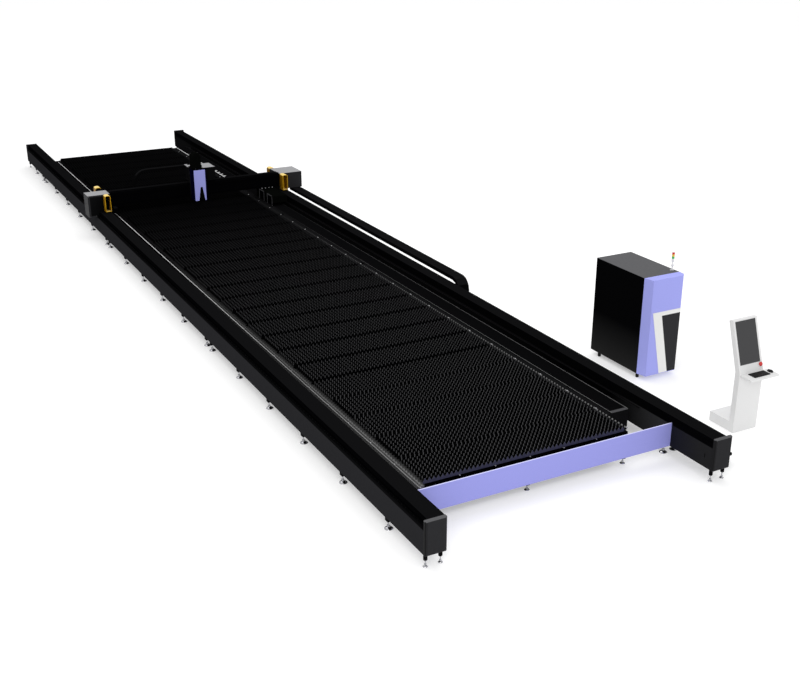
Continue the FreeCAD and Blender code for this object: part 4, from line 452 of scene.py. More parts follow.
class Shape:
    """Faces gathered in datum millimetres, each with the number of its paint."""

    def __init__(self):
        self.points = []
        self.faces = []
        self.paints = []

    def add(self, points, faces, paint=0):
        base = len(self.points)
        self.points += points
        self.faces += [[base + k for k in face] for face in faces]
        self.paints += [paint] * len(faces)

    def box(self, x, y, z, paint=0):
        corners = [(a, b, c) for c in z for b in y for a in x]
        self.add(corners, [(0, 2, 3, 1), (4, 5, 7, 6), (0, 1, 5, 4), (2, 6, 7, 3), (0, 4, 6, 2),
                           (1, 3, 7, 5)], paint)

    def loft(self, rings, paint=0):
        """Skin through rings of equally many points, closed at both ends."""
        count = len(rings[0])
        faces = []
        for r in range(len(rings) - 1):
            a = r * count
            b = a + count
            for k in range(count):
                n = (k + 1) % count
                faces.append((a + k, a + n, b + n, b + k))
        faces.append(tuple(reversed(range(count))))
        faces.append(tuple((len(rings) - 1) * count + k for k in range(count)))
        self.add([p for ring in rings for p in ring], faces, paint)

    def prism(self, outline, axis, low, high, paint=0, side_paint=None):
        """An outline of two coordinates, drawn out along the third axis."""
        rings = [[spread(axis, u, v, w) for u, v in outline] for w in (low, high)]
        start = len(self.paints)
        self.loft(rings, paint)
        if side_paint is not None:
            for k in range(len(outline)):
                self.paints[start + k] = side_paint

    def lathe(self, profile, centre, axis="z", sides=20, paint=0):
        """Rings of (radius, height) about an axis through the centre."""
        rings = []
        for radius, height in profile:
            ring = []
            for k in range(sides):
                u = radius * math.cos(TURN * k / sides)
                v = radius * math.sin(TURN * k / sides)
                p = spread(axis, u, v, height)
                ring.append(tuple(p[i] + centre[i] for i in range(3)))
            rings.append(ring)
        self.loft(rings, paint)

    def bolt(self, x, y, z, radius, height, axis="y", paint=0):
        """A hexagon head on a washer, up or towards the near end."""
        out = -height if axis == "y" else height
        self.lathe([(radius * WASHER, 0), (radius * WASHER, out * 0.2)], (x, y, z), axis, 14, paint)
        self.lathe([(radius, 0), (radius, out * 0.85), (radius * 0.85, out)], (x, y, z), axis, 6, paint)

    def done(self, name, paints, body, replaces=(), bevel=0, smooth=35):
        """The mesh of all faces, on one body or blended over (first, second, start, end)."""
        mesh = bpy.data.meshes.new(name)
        mesh.from_pydata([tuple(at(*p)) for p in self.points], [], self.faces)
        for key in paints:
            mesh.materials.append(M[key])
        mesh.polygons.foreach_set("material_index", self.paints)
        work = bmesh.new()
        work.from_mesh(mesh)
        bmesh.ops.recalc_face_normals(work, faces=work.faces)
        if bevel:
            edges = [e for e in work.edges
                     if e.is_manifold and e.calc_face_angle(0) > math.radians(BEVEL_FROM)]
            bmesh.ops.bevel(work, geom=edges, offset=bevel / 1000, segments=2, affect="EDGES",
                            profile=0.5, clamp_overlap=True)
            bmesh.ops.dissolve_degenerate(work, dist=TINY, edges=work.edges)
        work.to_mesh(mesh)
        work.free()
        mesh.polygons.foreach_set("use_smooth", [smooth > 0] * len(mesh.polygons))
        if smooth:
            mesh.set_sharp_from_angle(angle=math.radians(smooth))
        obj = bpy.data.objects.new(name, mesh)
        bpy.context.scene.collection.objects.link(obj)
        if isinstance(body, str):
            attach(obj, body)
        else:
            first, second, start, end = body
            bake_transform(obj, first, second, start, end)
            line = end - start
            share = [min(1.0, max(0.0, (v.co - start).dot(line) / line.length_squared))
                     for v in mesh.vertices]
            mesh.attributes["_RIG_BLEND"].data.foreach_set("value", share)
        if replaces:
            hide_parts(*replaces)


# ------------------------------------------------------------------ slats
TEETH = 49
TIP_HALF = 4.5          # half a tooth's width at its tip
MODULES = 3
CASSETTE = 10           # slats to a cassette
DARK_FROM = 4000        # from here on each cassette's first slat is dark
# Height of a tooth's root and of its neck as shares of the slat, and half the neck's width.
PLAIN_TOOTH = (0.3, 0.43, 8)
FIRST_TOOTH = (0.44, 0.7, 14)
SLAT, EDGE, PLATE, DIM = range(4)

slat_boxes = sorted(solids("slats"), key=lambda b: b[0][1])
per_module = len(slat_boxes) // MODULES
for module in range(MODULES):
    shape = Shape()
    for index, (low, high) in enumerate(slat_boxes[module * per_module:(module + 1) * per_module]):
        number = module * per_module + index
        first = number == 0
        last = number == MODULES * per_module - 1
        root_share, neck_share, neck_half = FIRST_TOOTH if first else PLAIN_TOOTH
        step = (high[0] - low[0]) / TEETH
        tall = high[2] - low[2]
        root = low[2] + root_share * tall
        neck = low[2] + neck_share * tall
        offset = step / 2 if number // CASSETTE % 2 else 0
        outline = [(low[0], low[2]), (high[0], low[2])]
        if offset:
            outline.append((high[0], root))
        for k in range(TEETH - (1 if offset else 0), 0, -1):
            x = low[0] + k * step + offset
            tooth = x - step / 2
            outline += [(x, root), (tooth + neck_half, neck), (tooth + TIP_HALF, high[2]),
                        (tooth - TIP_HALF, high[2]), (tooth - neck_half, neck)]
        outline.append((low[0] + offset, root))
        if offset:
            outline.append((low[0], root))
        if last:
            outline = [(low[0], low[2]), (high[0], low[2]), (high[0], high[2]), (low[0], high[2])]
        dark = last or (low[1] > DARK_FROM and index % CASSETTE == 0)
        shape.prism(outline, "y", low[1], high[1], PLATE if first else DIM if dark else SLAT,
                    DIM if dark else EDGE)
    shape.done("slats_%d" % module, ["slat", "edge", "plate", "dim"], "bed", ["slats"], smooth=0)

# Brackets between the cassettes, a lug at each slat's right end and a holder at its left end.
STRIP_Z = (484, 489)
HOLDER_LOW = 489.5
pitch = slat_boxes[1][0][1] - slat_boxes[0][0][1]
tip = slat_high[2]
shape = Shape()
for k in range(0, len(slat_boxes), CASSETTE):
    y = slat_boxes[k][0][1] - pitch / 2
    shape.box((slat_high[0] + 2, slat_high[0] + 18), (y - 13, y + 13), (tip - 12, tip), 0)
    shape.box((slat_low[0] - 62, slat_low[0] - 48), (y - 14, y + 14), (HOLDER_LOW, 500), 0)
for low, high in slat_boxes:
    shape.box((high[0] + 0.5, high[0] + 13), (low[1] - 10, high[1] + 10), (tip - 20, tip - 2), 1)
    shape.box((low[0] - 26, low[0] - 0.5), (low[1], high[1] + 12), (HOLDER_LOW, low[2] + 30), 2)
shape.done("slat_holders", ["bright", "lug", "slat"], "bed", smooth=0)

# ------------------------------------------------------------------ table edge
MEMBER = 6000           # a side member of the frame is longer than this
PLATE_Y = (61, 65)      # the plate under the first slat, from the table's near end
PLATE_LOW = 440.5
PAN_PLATE_TOP = 376

table_low, table_high = extent("table_frame")
shape = Shape()
# Bright strips along the table's left side: painted light from the floor seen between rail and table.
for low, high in solids("table_frame"):
    if high[1] - low[1] > MEMBER and low[0] < table_low[0] + 5:
        shape.box((low[0] - 22, low[0] - 8), (low[1], high[1]), STRIP_Z, 0)
supports = sorted(b for b in solids("slat_supports") if b[0][1] < table_low[1] + 5)
for low, high in supports:
    shape.box((low[0] - 5, high[0] + 5), (low[1] + 2, low[1] + 30), (high[2] + 0.3, high[2] + 6), 1)
walls = [table_low[0] + 60]
for low, high in supports:
    walls += [low[0] - 0.5, high[0] + 0.5]
walls.append(table_high[0] - 60)
for left, right in zip(walls[::2], walls[1::2]):
    shape.box((left, right), [table_low[1] + y for y in PLATE_Y], (PLATE_LOW, slat_low[2] - 1), 2)
# Dark plates round each pan, so the floor doesn't show between pan and frame: painted shade.
for low, high in solids("slag_pans"):
    for x in (low[0] - 4, high[0] + 1):
        shape.box((x, x + 3), (low[1] - 4, high[1] + 4), (low[2] + 2, PAN_PLATE_TOP), 2)
    for y in (low[1] - 4, high[1] + 1):
        shape.box((low[0] - 0.5, high[0] + 0.5), (y, y + 3), (low[2] + 2, PAN_PLATE_TOP), 2)
shape.done("table_edge_light_strip_and_plates", ["strip", "bright", "dim"], "bed", smooth=0)

# ------------------------------------------------------------------ levelling feet
PAD_GROWTH = 1.13       # wider pads, all but those of the near end legs
NEAR_LEGS = 500
# A pad's radius and height, as shares of its own.
PAD_FORM = ((0.96, 0), (1, 0.06), (1, 0.16), (0.93, 0.3), (0.76, 0.52), (0.5, 0.74), (0.34, 0.84), (0.3, 1))
ROUND_LEG = 58          # a leg narrower than this is round

pads_low, pads_high = extent("foot_pads")
pads = []
stems = []
for low, high in solids("foot_pads"):
    (pads if low[2] < 1 else stems).append((low, high))
shape = Shape()
for low, high in pads:
    x, y, z = middle((low, high))
    radius = (high[0] - low[0]) / 2 * (1 if y < NEAR_LEGS else PAD_GROWTH)
    pad_x = min(max(x, pads_low[0] + radius), pads_high[0] - radius)
    tall = high[2]
    stem_low, stem_high = [b for b in stems if abs(middle(b)[0] - x) < 5 and abs(middle(b)[1] - y) < 5][0]
    across = (stem_high[0] - stem_low[0]) / 2
    shape.lathe([(radius * r, tall * h) for r, h in PAD_FORM], (pad_x, y, 0), "z", 22)
    shape.lathe([(across * 1.7, 0), (across * 1.7, across)], (x, y, tall + across * 0.4), "z", 6)
    shape.lathe([(across * 0.85, 0), (across * 0.85, stem_high[2] - tall)], (x, y, tall), "z", 12)
    shape.lathe([(across * 1.6, 0), (across * 1.6, across * 0.9)], (x, y, stem_high[2] - across), "z", 6)
shape.done("levelling_feet", ["chrome"], "bed", ["foot_pads"])

shape = Shape()
for low, high in solids("rail_legs"):
    x, y, z = middle((low, high))
    if high[0] - low[0] < ROUND_LEG:
        radius = (high[0] - low[0]) / 2
        shape.lathe([(radius * 0.8, low[2]), (radius, low[2] + 6), (radius, high[2])], (x, y, 0), "z", 24)
    else:
        shape.loft(rounded_rings("z", low, high, 6, 2, ((low[2], 3), (low[2] + 4, 0), (high[2], 0))))
shape.done("leg_brackets", ["black"], "bed", ["rail_legs"])

# ------------------------------------------------------------------ rail ends
CHAMFER = 15

shape = Shape()
for low, high in solids("rail_end_caps"):
    near = low[1] < 100
    levels = [(low[1] + depth if near else high[1] - depth, inset)
              for depth, inset in ((0.5, CHAMFER), (CHAMFER, 0), (high[1] - low[1], 0))]
    shape.loft(rounded_rings("y", low, high, 12, 2, levels))
    if near:
        shape.box((low[0] + 24, low[0] + 27), (low[1], low[1] + 2), (low[2] + 22, high[2] - 22), 1)
shape.done("rail_caps", ["cap", "black"], "bed", ["rail_end_caps"], smooth=0)

# ------------------------------------------------------------------ racks and guide rails
BED_MIDDLE = 2400
RACK_PITCH = 9.425
RACK_DEPTH = 6.7
ROOT_HALF, CREST_HALF = 3.9, 1.4
HOLE_PITCH = 105


def free_face(low, high):
    """The x of the face towards the recess' mouth and of the back, and the way from face to back."""
    return (low[0], high[0], 1) if low[0] < BED_MIDDLE else (high[0], low[0], -1)


shape = Shape()
for low, high in solids("gear_racks"):
    face, back, way = free_face(low, high)
    root = face + way * RACK_DEPTH
    shape.box(sorted((root, back)), (low[1], high[1]), (low[2], high[2]))
    y = low[1] + RACK_PITCH
    while y < high[1] - RACK_PITCH:
        corners = [(root, y - ROOT_HALF), (face, y - CREST_HALF), (face, y + CREST_HALF),
                   (root, y + ROOT_HALF)]
        points = [(u, v, w) for w in (low[2], high[2]) for u, v in corners]
        shape.add(points, [(0, 1, 5, 4), (1, 2, 6, 5), (2, 3, 7, 6), (0, 3, 2, 1), (4, 5, 6, 7)])
        y += RACK_PITCH
shape.done("toothed_racks", ["ground"], "bed", ["gear_racks"], smooth=0)

shape = Shape()
for low, high in solids("gantry_guide_rails"):
    face, back, way = free_face(low, high)
    half_section = [(face, 2), (face + way * 2, 0), (face + way * 9, 0), (face + way * 13, 4),
                    (face + way * 18, 3), (back, 3)]
    section = [(x, low[2] + h) for x, h in half_section]
    section += [(x, high[2] - h) for x, h in reversed(half_section)]
    shape.prism(section, "y", low[1], high[1])
    y = low[1] + 60
    while y < high[1]:
        shape.lathe([(7, 0), (7, -way * 0.4)], (face, y, (low[2] + high[2]) / 2), "x", 8, 1)
        y += HOLE_PITCH
shape.done("guide_profiles", ["ground", "black"], "bed", ["gantry_guide_rails"], smooth=0)


def pinion(name, node, body, axis, teeth, face_width):
    """A spur wheel with its shaft, inside the node's box."""
    low, high = extent(node)
    centre = middle((low, high))
    along = "xyz".index(axis)
    wheel = [i for i in range(3) if i != along]
    radius = (high[wheel[0]] - low[wheel[0]]) / 2
    outline = []
    for k in range(teeth):
        for turn, share in ((-0.3, 0.8), (-0.14, 1.0), (0.14, 1.0), (0.3, 0.8)):
            angle = TURN * (k + turn) / teeth
            outline.append((radius * share * math.cos(angle), radius * share * math.sin(angle)))
    start = low[along]
    hub = [0.0, 0.0, 0.0]
    for i in wheel:
        hub[i] = centre[i]
    rings = [[tuple(p[i] + hub[i] for i in range(3)) for p in (spread(axis, u, v, w) for u, v in outline)]
             for w in (start, start + face_width)]
    shape = Shape()
    shape.loft(rings)
    shape.lathe([(radius * 0.32, start - 0.5), (radius * 0.32, high[along])], hub, axis, 16)
    shape.done(name, ["spur"], body, [node], smooth=25)


for side in ("left", "right"):
    pinion("spur_" + side, "pinion_" + side, "wheel_" + side, "z", 20, 28)
pinion("spur_x", "x_pinion", "x_wheel", "y", 18, 26)

# ------------------------------------------------------------------ drag chains
# Each chain's axis, the bodies that hold its lower and its upper run, and the links of a half bend.
CHAINS = (("y", "bed", "gantry", 3), ("x", "gantry", "saddle", 5))
HALVES = (("upper", "top"), ("lower", "foot"))
PLATE_IN = 0.012        # a side plate's distance from the edge, as a share of the chain's width
PLATE_WALL = 0.055      # and its wall


def link_parts(length, width, thick):
    """The parts of a chain link: (outline along and up, low across, high across)."""
    side = [(0, 0.3 * thick), (0.12 * length, 0.02 * thick), (0.88 * length, 0.02 * thick),
            (length, 0.3 * thick), (length, 0.7 * thick), (0.88 * length, 0.98 * thick),
            (0.12 * length, 0.98 * thick), (0, 0.7 * thick)]
    inner = [(0.7 * length, 0.16 * thick), (length, 0.16 * thick), (length, 0.84 * thick),
             (0.7 * length, 0.84 * thick)]
    start, end = 0.03 * length, 0.97 * length
    wall = PLATE_WALL * width
    edge, far_edge = PLATE_IN * width, (1 - PLATE_IN) * width
    parts = [(side, low, low + wall) for low in (edge, far_edge - wall)]
    parts += [(inner, low, low + wall) for low in (edge + wall + 0.5, far_edge - 2 * wall - 0.5)]
    for low in (0.0, 0.9 * thick):
        parts.append(([(start, low), (end, low), (end, low + 0.1 * thick), (start, low + 0.1 * thick)],
                      edge + 0.5, far_edge - 0.5))
    for share in (0.16, 0.84):
        joint = [(length * share + 0.2 * thick * math.cos(TURN * k / 10),
                  0.5 * thick + 0.2 * thick * math.sin(TURN * k / 10)) for k in range(10)]
        parts.append((joint, 0, edge + 1))
        parts.append((joint, far_edge - 1, width))
    return parts


def add_link(shape, length, width, thick, place):
    for outline, low, high in link_parts(length, width, thick):
        shape.loft([[place(s, w, t) for s, t in outline] for w in (low, high)])


def chain_run(axis, half, bend_body, end_body):
    """A straight run of links, stretched between its bend and its fixed end."""
    node = "%s_chain_%s_run" % (axis, half)
    along = "xyz".index(axis)
    across = 1 - along
    shape = Shape()
    for low, high in solids(node):
        def place(s, w, t):
            p = [0.0, 0.0, low[2] + t]
            p[along] = low[along] + s
            p[across] = low[across] + w
            return tuple(p)
        add_link(shape, high[along] - low[along], high[across] - low[across], high[2] - low[2], place)
    ends = []
    for corner in extent(node):
        end = [0, 0, 0]
        end[along] = corner[along]
        ends.append(at(*end))
    shape.done("%s_%s_links" % (axis, half), ["chain"], (bend_body, end_body, *ends), [node], smooth=20)


def chain_bend(axis, half, bend, count):
    """A quarter turn of links; the bend opens towards the higher end of the axis."""
    node = "%s_chain_%s_bend" % (axis, half)
    low, high = extent(node)
    run_low, run_high = extent(axis + "_chain_upper_run")
    thick = run_high[2] - run_low[2]
    along = "xyz".index(axis)
    across = 1 - along
    outer = high[2] - low[2]
    way, base = (1, low[2]) if half == "upper" else (-1, high[2])
    far = high[along] - 0.4
    length = (outer - thick / 2) * TURN / 4 / count
    shape = Shape()
    for k in range(count):
        def place(s, w, t):
            angle = TURN / 4 * (k + (s / length)) / count
            reach = outer - t
            p = [0.0, 0.0, base + reach * math.cos(angle) * way]
            p[along] = far - reach * math.sin(angle)
            p[across] = low[across] + w
            return tuple(p)
        add_link(shape, length, high[across] - low[across], thick, place)
    shape.done("%s_%s_links" % (axis, bend), ["chain"], "%s_bend_%s" % (axis, bend), [node], smooth=20)


for axis, lower_body, upper_body, count in CHAINS:
    for half, bend in HALVES:
        chain_run(axis, half, "%s_bend_%s" % (axis, bend), upper_body if half == "upper" else lower_body)
for axis, lower_body, upper_body, count in CHAINS:
    for half, bend in HALVES:
        chain_bend(axis, half, bend, count)

# ------------------------------------------------------------------ bumpers
WALL = 13
OUTER_ROUND, INNER_ROUND = 46, 33
GANTRY_MIDDLE = 16000   # bumpers before this are the near pair


def shoulder(x, z, radius):
    """A quarter round from the upright side at x to the top at z."""
    turns = [TURN / 4 * k / 6 for k in range(7)]
    return [(x + radius - radius * math.cos(a), z - radius + radius * math.sin(a)) for a in turns]


shape = Shape()
for low, high in solids("bumpers"):
    outer = [(low[0], low[2])] + shoulder(low[0], high[2], OUTER_ROUND)
    inner = [(low[0] + WALL, low[2])] + shoulder(low[0] + WALL, high[2] - WALL, INNER_ROUND)
    outer += [(low[0] + high[0] - x, z) for x, z in reversed(outer)]
    inner += [(low[0] + high[0] - x, z) for x, z in reversed(inner)]
    band = outer + list(reversed(inner))
    half_way = (low[0] + high[0]) / 2
    rings = []
    for y, inset in ((low[1], 5), (low[1] + 1.5, 1.5), (low[1] + 5, 0), (high[1] - 5, 0), (high[1], 3)):
        ring = []
        for k, (x, z) in enumerate(band):
            outside = k < len(outer)
            inward = inset if outside == (x < half_way) else -inset
            drop = inset if outside and 0 < k < len(outer) - 1 else 0
            ring.append((x + inward, y, z - drop))
        rings.append(ring)
    shape.loft(rings)
    # A recessed back and a lip at the foot. The left bumpers' backs take the dark hood paint, not gold:
    # painted shade inside the hoop.
    deep = high[1] - 12 if low[1] < GANTRY_MIDDLE else low[1] + 12
    across = (low[0] + WALL - 1, high[0] - WALL + 1)
    shape.box(across, (deep - 4, deep + 4), (low[2] + 1, high[2] - WALL + 1), 1 if low[0] < BED_MIDDLE else 0)
    shape.box(across, (min(low[1] + 6, deep), max(high[1] - 6, deep)), (low[2] + 1, low[2] + 9), 0)
shape.done("rounded_bumpers", ["gold", "hood"], "gantry", ["bumpers"], smooth=40)

# ------------------------------------------------------------------ covers
left_low, left_high = extent("cover_left")
right_low, right_high = extent("cover_right")
box_low, box_high = extent("saddle_box")
shape = Shape()
shape.loft(rounded_rings("y", (left_low[0] + 46, 0, left_low[2] + 40),
                         (left_high[0] - 36, 0, left_high[2] - 34), 8, 2,
                         ((left_low[1] - 0.2, 0), (left_low[1] - 1.2, 1.5))))
for z in (left_high[2] - 22, left_low[2] + 22):
    shape.bolt(left_low[0] + 22, left_low[1] - 0.2, z, 7, 4, paint=1)
for z in (right_high[2] - 30, right_low[2] + 30):
    shape.bolt(right_high[0] - 30, right_low[1] - 0.2, z, 8, 4)
shape.done("cover_panel", ["black", "chrome"], "gantry", smooth=30)

shape = Shape()
for x in (box_low[0] + 26, box_high[0] - 26):
    for z in (box_low[2] + 26, box_high[2] - 26):
        shape.bolt(x, box_low[1] - 0.1, z, 6, 3)
for y in (box_low[1] + 60, box_high[1] - 60):
    for x in (box_low[0] + 26, box_high[0] - 26):
        shape.bolt(x, y, box_high[2] - 0.5, 6, 1.2, "z")
shape.done("saddle_box_screws", ["charcoal"], "saddle", smooth=30)

# ------------------------------------------------------------------ lift cover
COVER_WALL = 5

low, high = extent("z_drive_cover")
half = (high[0] - low[0]) / 2
crown = high[2] - half


def arch(y, radius):
    """An arch at y, from its left foot over the crown to its right foot."""
    out = [(low[0] + half - radius, y, low[2])]
    for k in range(17):
        angle = math.pi * (1 - k / 16)
        out.append((low[0] + half + radius * math.cos(angle), y, crown + radius * math.sin(angle)))
    out.append((low[0] + half + radius, y, low[2]))
    return out


shape = Shape()
shape.loft([arch(low[1], half - 14), arch(low[1] + 2, half - 8), arch(low[1] + 6, half - 3),
            arch(low[1] + 12, half), arch(high[1], half), arch(high[1], half - COVER_WALL),
            arch(low[1] + 12, half - COVER_WALL), arch(low[1] + COVER_WALL, half - 14)])
shape.done("lift_cover", ["hood"], "saddle", ["z_drive_cover"], smooth=45)

# ------------------------------------------------------------------ cutting head
low, high = extent("cutting_head")
tip_low, tip_high = extent("nozzle")
hx, hy = (tip_low[0] + tip_high[0]) / 2, (tip_low[1] + tip_high[1]) / 2
block_low, block_high = high[2] - 260, high[2] - 40
shape = Shape()
shape.box((low[0], low[0] + 116), (hy - 42, hy + 58), (block_low, block_high))
shape.box((low[0] + 13, low[0] + 103), (hy + 20, high[1]), (high[2] - 220, high[2] - 100))
shape.box((low[0] + 18, low[0] + 98), (hy - 36, hy + 44), (block_high + 0.5, high[2]))
for x in (low[0] + 16, low[0] + 100):
    for z in (block_low + 16, block_high - 16):
        shape.bolt(x, hy - 42, z, 4, 2, paint=1)
shape.done("head_body", ["alloy", "chrome"], "head", bevel=3, smooth=30)

# Radius and height from the block's underside; from the nozzle's top; and from the nozzle's tip.
BARREL = ((38, 0), (40, -6), (40, -56), (49, -58), (49, -82), (40, -84))
NECK = ((40, 44), (44, 42), (44, 30), (38, 24), (30, 0))
HOLDER = ((24, -0.5), (24, -38), (22, -42), (20, -60))
CONE = ((7, 3), (5.5, 0), (1, 0), (1, 4))
shape = Shape()
shape.lathe([(r, block_low + h) for r, h in BARREL] + [(r, tip_high[2] + h) for r, h in NECK],
            (hx, hy, 0), "z", 28)
shape.done("head_barrel", ["alloy"], "head", ["cutting_head"], smooth=30)
shape = Shape()
shape.lathe([(r, tip_high[2] + h) for r, h in HOLDER], (hx, hy, 0), "z", 24)
shape.lathe([(20, tip_high[2] - 60), (17, tip_high[2] - 78)] + [(r, tip_low[2] + h) for r, h in CONE],
            (hx, hy, 0), "z", 24, 1)
shape.done("nozzle_tip", ["bright", "brass"], "head", ["nozzle"], smooth=30)

# ------------------------------------------------------------------ lift screw
THREAD = 6              # pitch
low, high = extent("z_screw")
radius = (high[0] - low[0]) / 2
core = radius * 0.8
rings = [(core, low[2])]
z = low[2] + 12
while z < high[2] - 12:
    rings += [(core, z - 2.4), (radius, z - 0.8), (radius, z + 0.8), (core, z + 2.4)]
    z += THREAD
rings.append((core, high[2]))
shape = Shape()
shape.lathe(rings, ((low[0] + high[0]) / 2, (low[1] + high[1]) / 2, 0), "z", 14)
shape.done("ball_screw", ["chrome"], "screw", ["z_screw"], smooth=30)

# ------------------------------------------------------------------ suction hood
ARCH_PITCH, ARCH_WIDE, ARCH_POST = 530, 335, 26
KNOB_Y = 15790

low, high = extent("suction_hood")
shape = Shape()
for k in range(2):
    near = low[1] - 8 + ARCH_PITCH * k + 10
    far = near + ARCH_WIDE
    for y in (near, far - ARCH_POST):
        shape.box((low[0] - 4, low[0] - 0.2), (y, y + ARCH_POST), (low[2] + 2, high[2] - 2), 0)
    shape.box((low[0] - 4, low[0] - 0.2), (near, far), (high[2] - 26, high[2] - 1), 0)
    shape.box((low[0] - 3, low[0] - 0.2), (near + 40, far - 40), (low[2] + 6, high[2] - 40), 2)
shape.box((low[0] - 4, low[0] - 0.2), (low[1] + 2, low[1] + 26), (low[2] + 1, low[2] + 26), 1)
for k in range(4):
    shape.lathe([(11.5, 0), (11.5, 9), (9, 13.5)], (low[0] + 68 + 92 * k, KNOB_Y, high[2] - 12), "z", 16, 1)
shape.done("hood_edges", ["tab", "bright", "dim"], "gantry", smooth=30)

# ------------------------------------------------------------------ duct edges
FAR_START = 17500       # the white strip and its ticks begin here
TICKS_LONG, TICK_PITCH = 2200, 230

low, high = extent("extraction_duct")
belt_low, belt_high = extent("duct_belt")
shape = Shape()
for x in (belt_low[0] - 7, high[0] - 7):
    shape.box((x, x + 6), (belt_low[1], belt_high[1]), (high[2] + 0.2, high[2] + 1.6), 0)
shape.box((belt_low[0] - 16, belt_low[0] - 1), (FAR_START, belt_high[1]), (high[2] + 0.3, high[2] + 6), 2)
y = FAR_START + 60
while y < FAR_START + TICKS_LONG:
    shape.box((belt_low[0] - 1, belt_low[0] + 70), (y, y + 40), (high[2] + 0.3, high[2] + 3), 2)
    y += TICK_PITCH
shape.box((belt_low[0], belt_high[0]), (belt_low[1] - 4, belt_low[1] + 60),
          (belt_high[2] + 0.3, belt_high[2] + 5), 1)
shape.done("duct_lips", ["lug", "tab", "white"], "bed", smooth=0)

# ------------------------------------------------------------------ signal tower
low, high = extent("tower_stem")
tower = ((low[0] + high[0]) / 2, (low[1] + high[1]) / 2, 0)
base = low[2]
lens = {colour: extent("lens_" + colour) for colour in LENSES}
lens_floor, lens_roof = lens["green"][0][2], lens["red"][1][2]
# Radius and height above the cabinet: foot, pole, collar and lamp socket.
FOOT = ((38, 0), (38, 8), (34, 12), (12, 14))
POLE = ((9, 10), (9, 240))
COLLAR = ((14, 68), (20, 72), (22, 78), (22, 98), (20, 103), (14, 106))
SOCKET = ((12, 146), (21, 150), (23, 155))
shape = Shape()
shape.lathe([(r, base + h) for r, h in FOOT], tower, "z", 28, 1)
shape.lathe([(r, base + h) for r, h in POLE], tower, "z", 16)
shape.lathe([(r, base + h) for r, h in COLLAR], tower, "z", 24)
shape.lathe([(r, base + h) for r, h in SOCKET] + [(23, lens_floor)], tower, "z", 28)
shape.lathe([(23, lens_roof), (22, lens_roof + 2.5), (12, high[2])], tower, "z", 28)
shape.done("tower_body", ["white", "chrome"], "bed", ["tower_stem"], smooth=30)
for colour, (low, high) in lens.items():
    rings = [(20, low[2]), (22.8, low[2] + 1)]
    z = low[2] + 3
    while z < high[2] - 3:
        rings += [(22.9, z), (22.0, z + 1)]
        z += 2.6
    rings += [(22.8, high[2] - 1), (20, high[2])]
    shape = Shape()
    shape.lathe(rings, tower, "z", 28)
    shape.done("lamp_" + colour, ["lens_" + colour], "bed", ["lens_" + colour], smooth=60)

# ------------------------------------------------------------------ keyboard
COLUMNS, ROWS = 15, 5
SPACE_BAR = (0, 4)      # its row and first column
SPACE_WIDE = 5
BOARD_EDGE = 8
KEY_GAP = 1.5

low, high = extent("keyboard")
shape = Shape()
shape.loft(rounded_rings("z", low, high, 8, 3, ((low[2], 1), (low[2] + 2, 0), (low[2] + 9, 0),
                                                (low[2] + 10.5, 1.5))))
gap_x = (high[0] - low[0] - 2 * BOARD_EDGE) / COLUMNS
gap_y = (high[1] - low[1] - 2 * BOARD_EDGE) / ROWS
for row in range(ROWS):
    column = 0
    while column < COLUMNS:
        wide = SPACE_WIDE if (row, column) == SPACE_BAR else 1
        x0 = low[0] + BOARD_EDGE + gap_x * column
        y0 = low[1] + BOARD_EDGE + gap_y * row
        rings = []
        for z, inset in ((low[2] + 9, 0), (low[2] + 14, 0.6), (high[2] - 1.5, 2.2)):
            left, right = x0 + KEY_GAP + inset, x0 + gap_x * wide - KEY_GAP - inset
            front, back = y0 + KEY_GAP + inset, y0 + gap_y - KEY_GAP - inset
            rings.append([(left, front, z), (right, front, z), (right, back, z), (left, back, z)])
        shape.loft(rings)
        column += wide
shape.done("keyboard_keys", ["key"], "bed", ["keyboard"], smooth=30)

# ------------------------------------------------------------------ mouse
LEVELS = 8
AROUND = 28

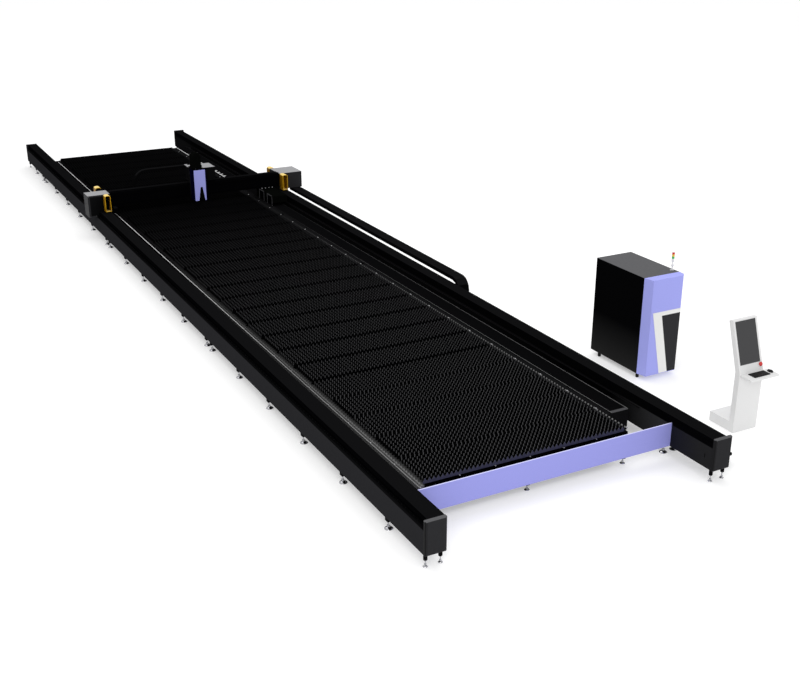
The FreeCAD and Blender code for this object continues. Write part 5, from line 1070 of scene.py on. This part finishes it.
low, high = extent("mouse")
mx, my = (low[0] + high[0]) / 2, (low[1] + high[1]) / 2
rings = []
for k in range(LEVELS):
    crest = k == LEVELS - 1
    rise = TURN / 4 * k / (LEVELS - 1)
    lift = math.sin(rise)
    reach = 0.08 if crest else math.cos(rise) ** 0.6
    ring = []
    for j in range(AROUND):
        angle = TURN * j / AROUND
        blunt = math.copysign(abs(math.cos(angle)) ** 0.75, math.cos(angle))
        x = mx + (high[0] - low[0]) / 2 * reach * blunt
        y = my - 6 * lift + (high[1] - low[1]) / 2 * reach * math.sin(angle) * (1 - 0.05 * lift)
        z = low[2] + (high[2] - low[2]) * lift * (1 - 0.12 * math.sin(angle) * (0 if crest else 1))
        ring.append((x, min(max(y, low[1]), high[1]), min(z, high[2])))
    rings.append(ring)
shape = Shape()
shape.loft(rings)
shape.box((mx - 2.5, mx + 2.5), (my + 18, my + 34), (high[2] - 8, high[2] - 0.5))
shape.done("mouse_shell", ["key"], "bed", ["mouse"], smooth=60)

# ------------------------------------------------------------------ stop button
LEAN = math.radians(18.4)
MUSHROOM = ((28, 5), (33, 6), (34, 9), (33, 14), (28, 20), (18, 23), (6, 24))
STEM = ((11, -26), (11, 6))
low, high = extent("stop_button")
face_out = Vector((0, -math.cos(LEAN), math.sin(LEAN)))
face_up = Vector((0, math.sin(LEAN), math.cos(LEAN)))


def on_face(profile, sides, foot):
    """Rings of (radius, height) about the leaning face's own normal."""
    rings = []
    for radius, height in profile:
        ring = []
        for k in range(sides):
            angle = TURN * k / sides
            p = (foot + face_out * height + Vector((1, 0, 0)) * radius * math.cos(angle)
                 + face_up * radius * math.sin(angle))
            ring.append(tuple(p))
        rings.append(ring)
    return rings


foot = Vector(middle((low, high)))
over = max(p[2] for ring in on_face(MUSHROOM, 30, foot) for p in ring) - high[2]
foot = foot + face_out * -max(0.0, over / math.sin(LEAN))
shape = Shape()
shape.loft(on_face(MUSHROOM, 30, foot))
shape.loft(on_face(STEM, 16, foot))
shape.done("stop_head", ["red"], "stop", ["stop_button"], smooth=40)

# ------------------------------------------------------------------ floor
FLOOR_SIZE = 400        # metres
FLOOR_GLOW = 0.35

bpy.ops.mesh.primitive_plane_add(size=FLOOR_SIZE, location=(0, 0, -0.0005))
floor = bpy.context.active_object
floor.name = "floor"
paper = material("floor_paper", (0.72, 0.72, 0.72), rough=0.9, grain=0.003, scale=2, bump=0, spec=0.05)
shader = paper.node_tree.nodes["Principled BSDF"]
shader.inputs["Emission Color"].default_value = (1, 1, 1, 1)
shader.inputs["Emission Strength"].default_value = FLOOR_GLOW
floor.data.materials.append(paper)
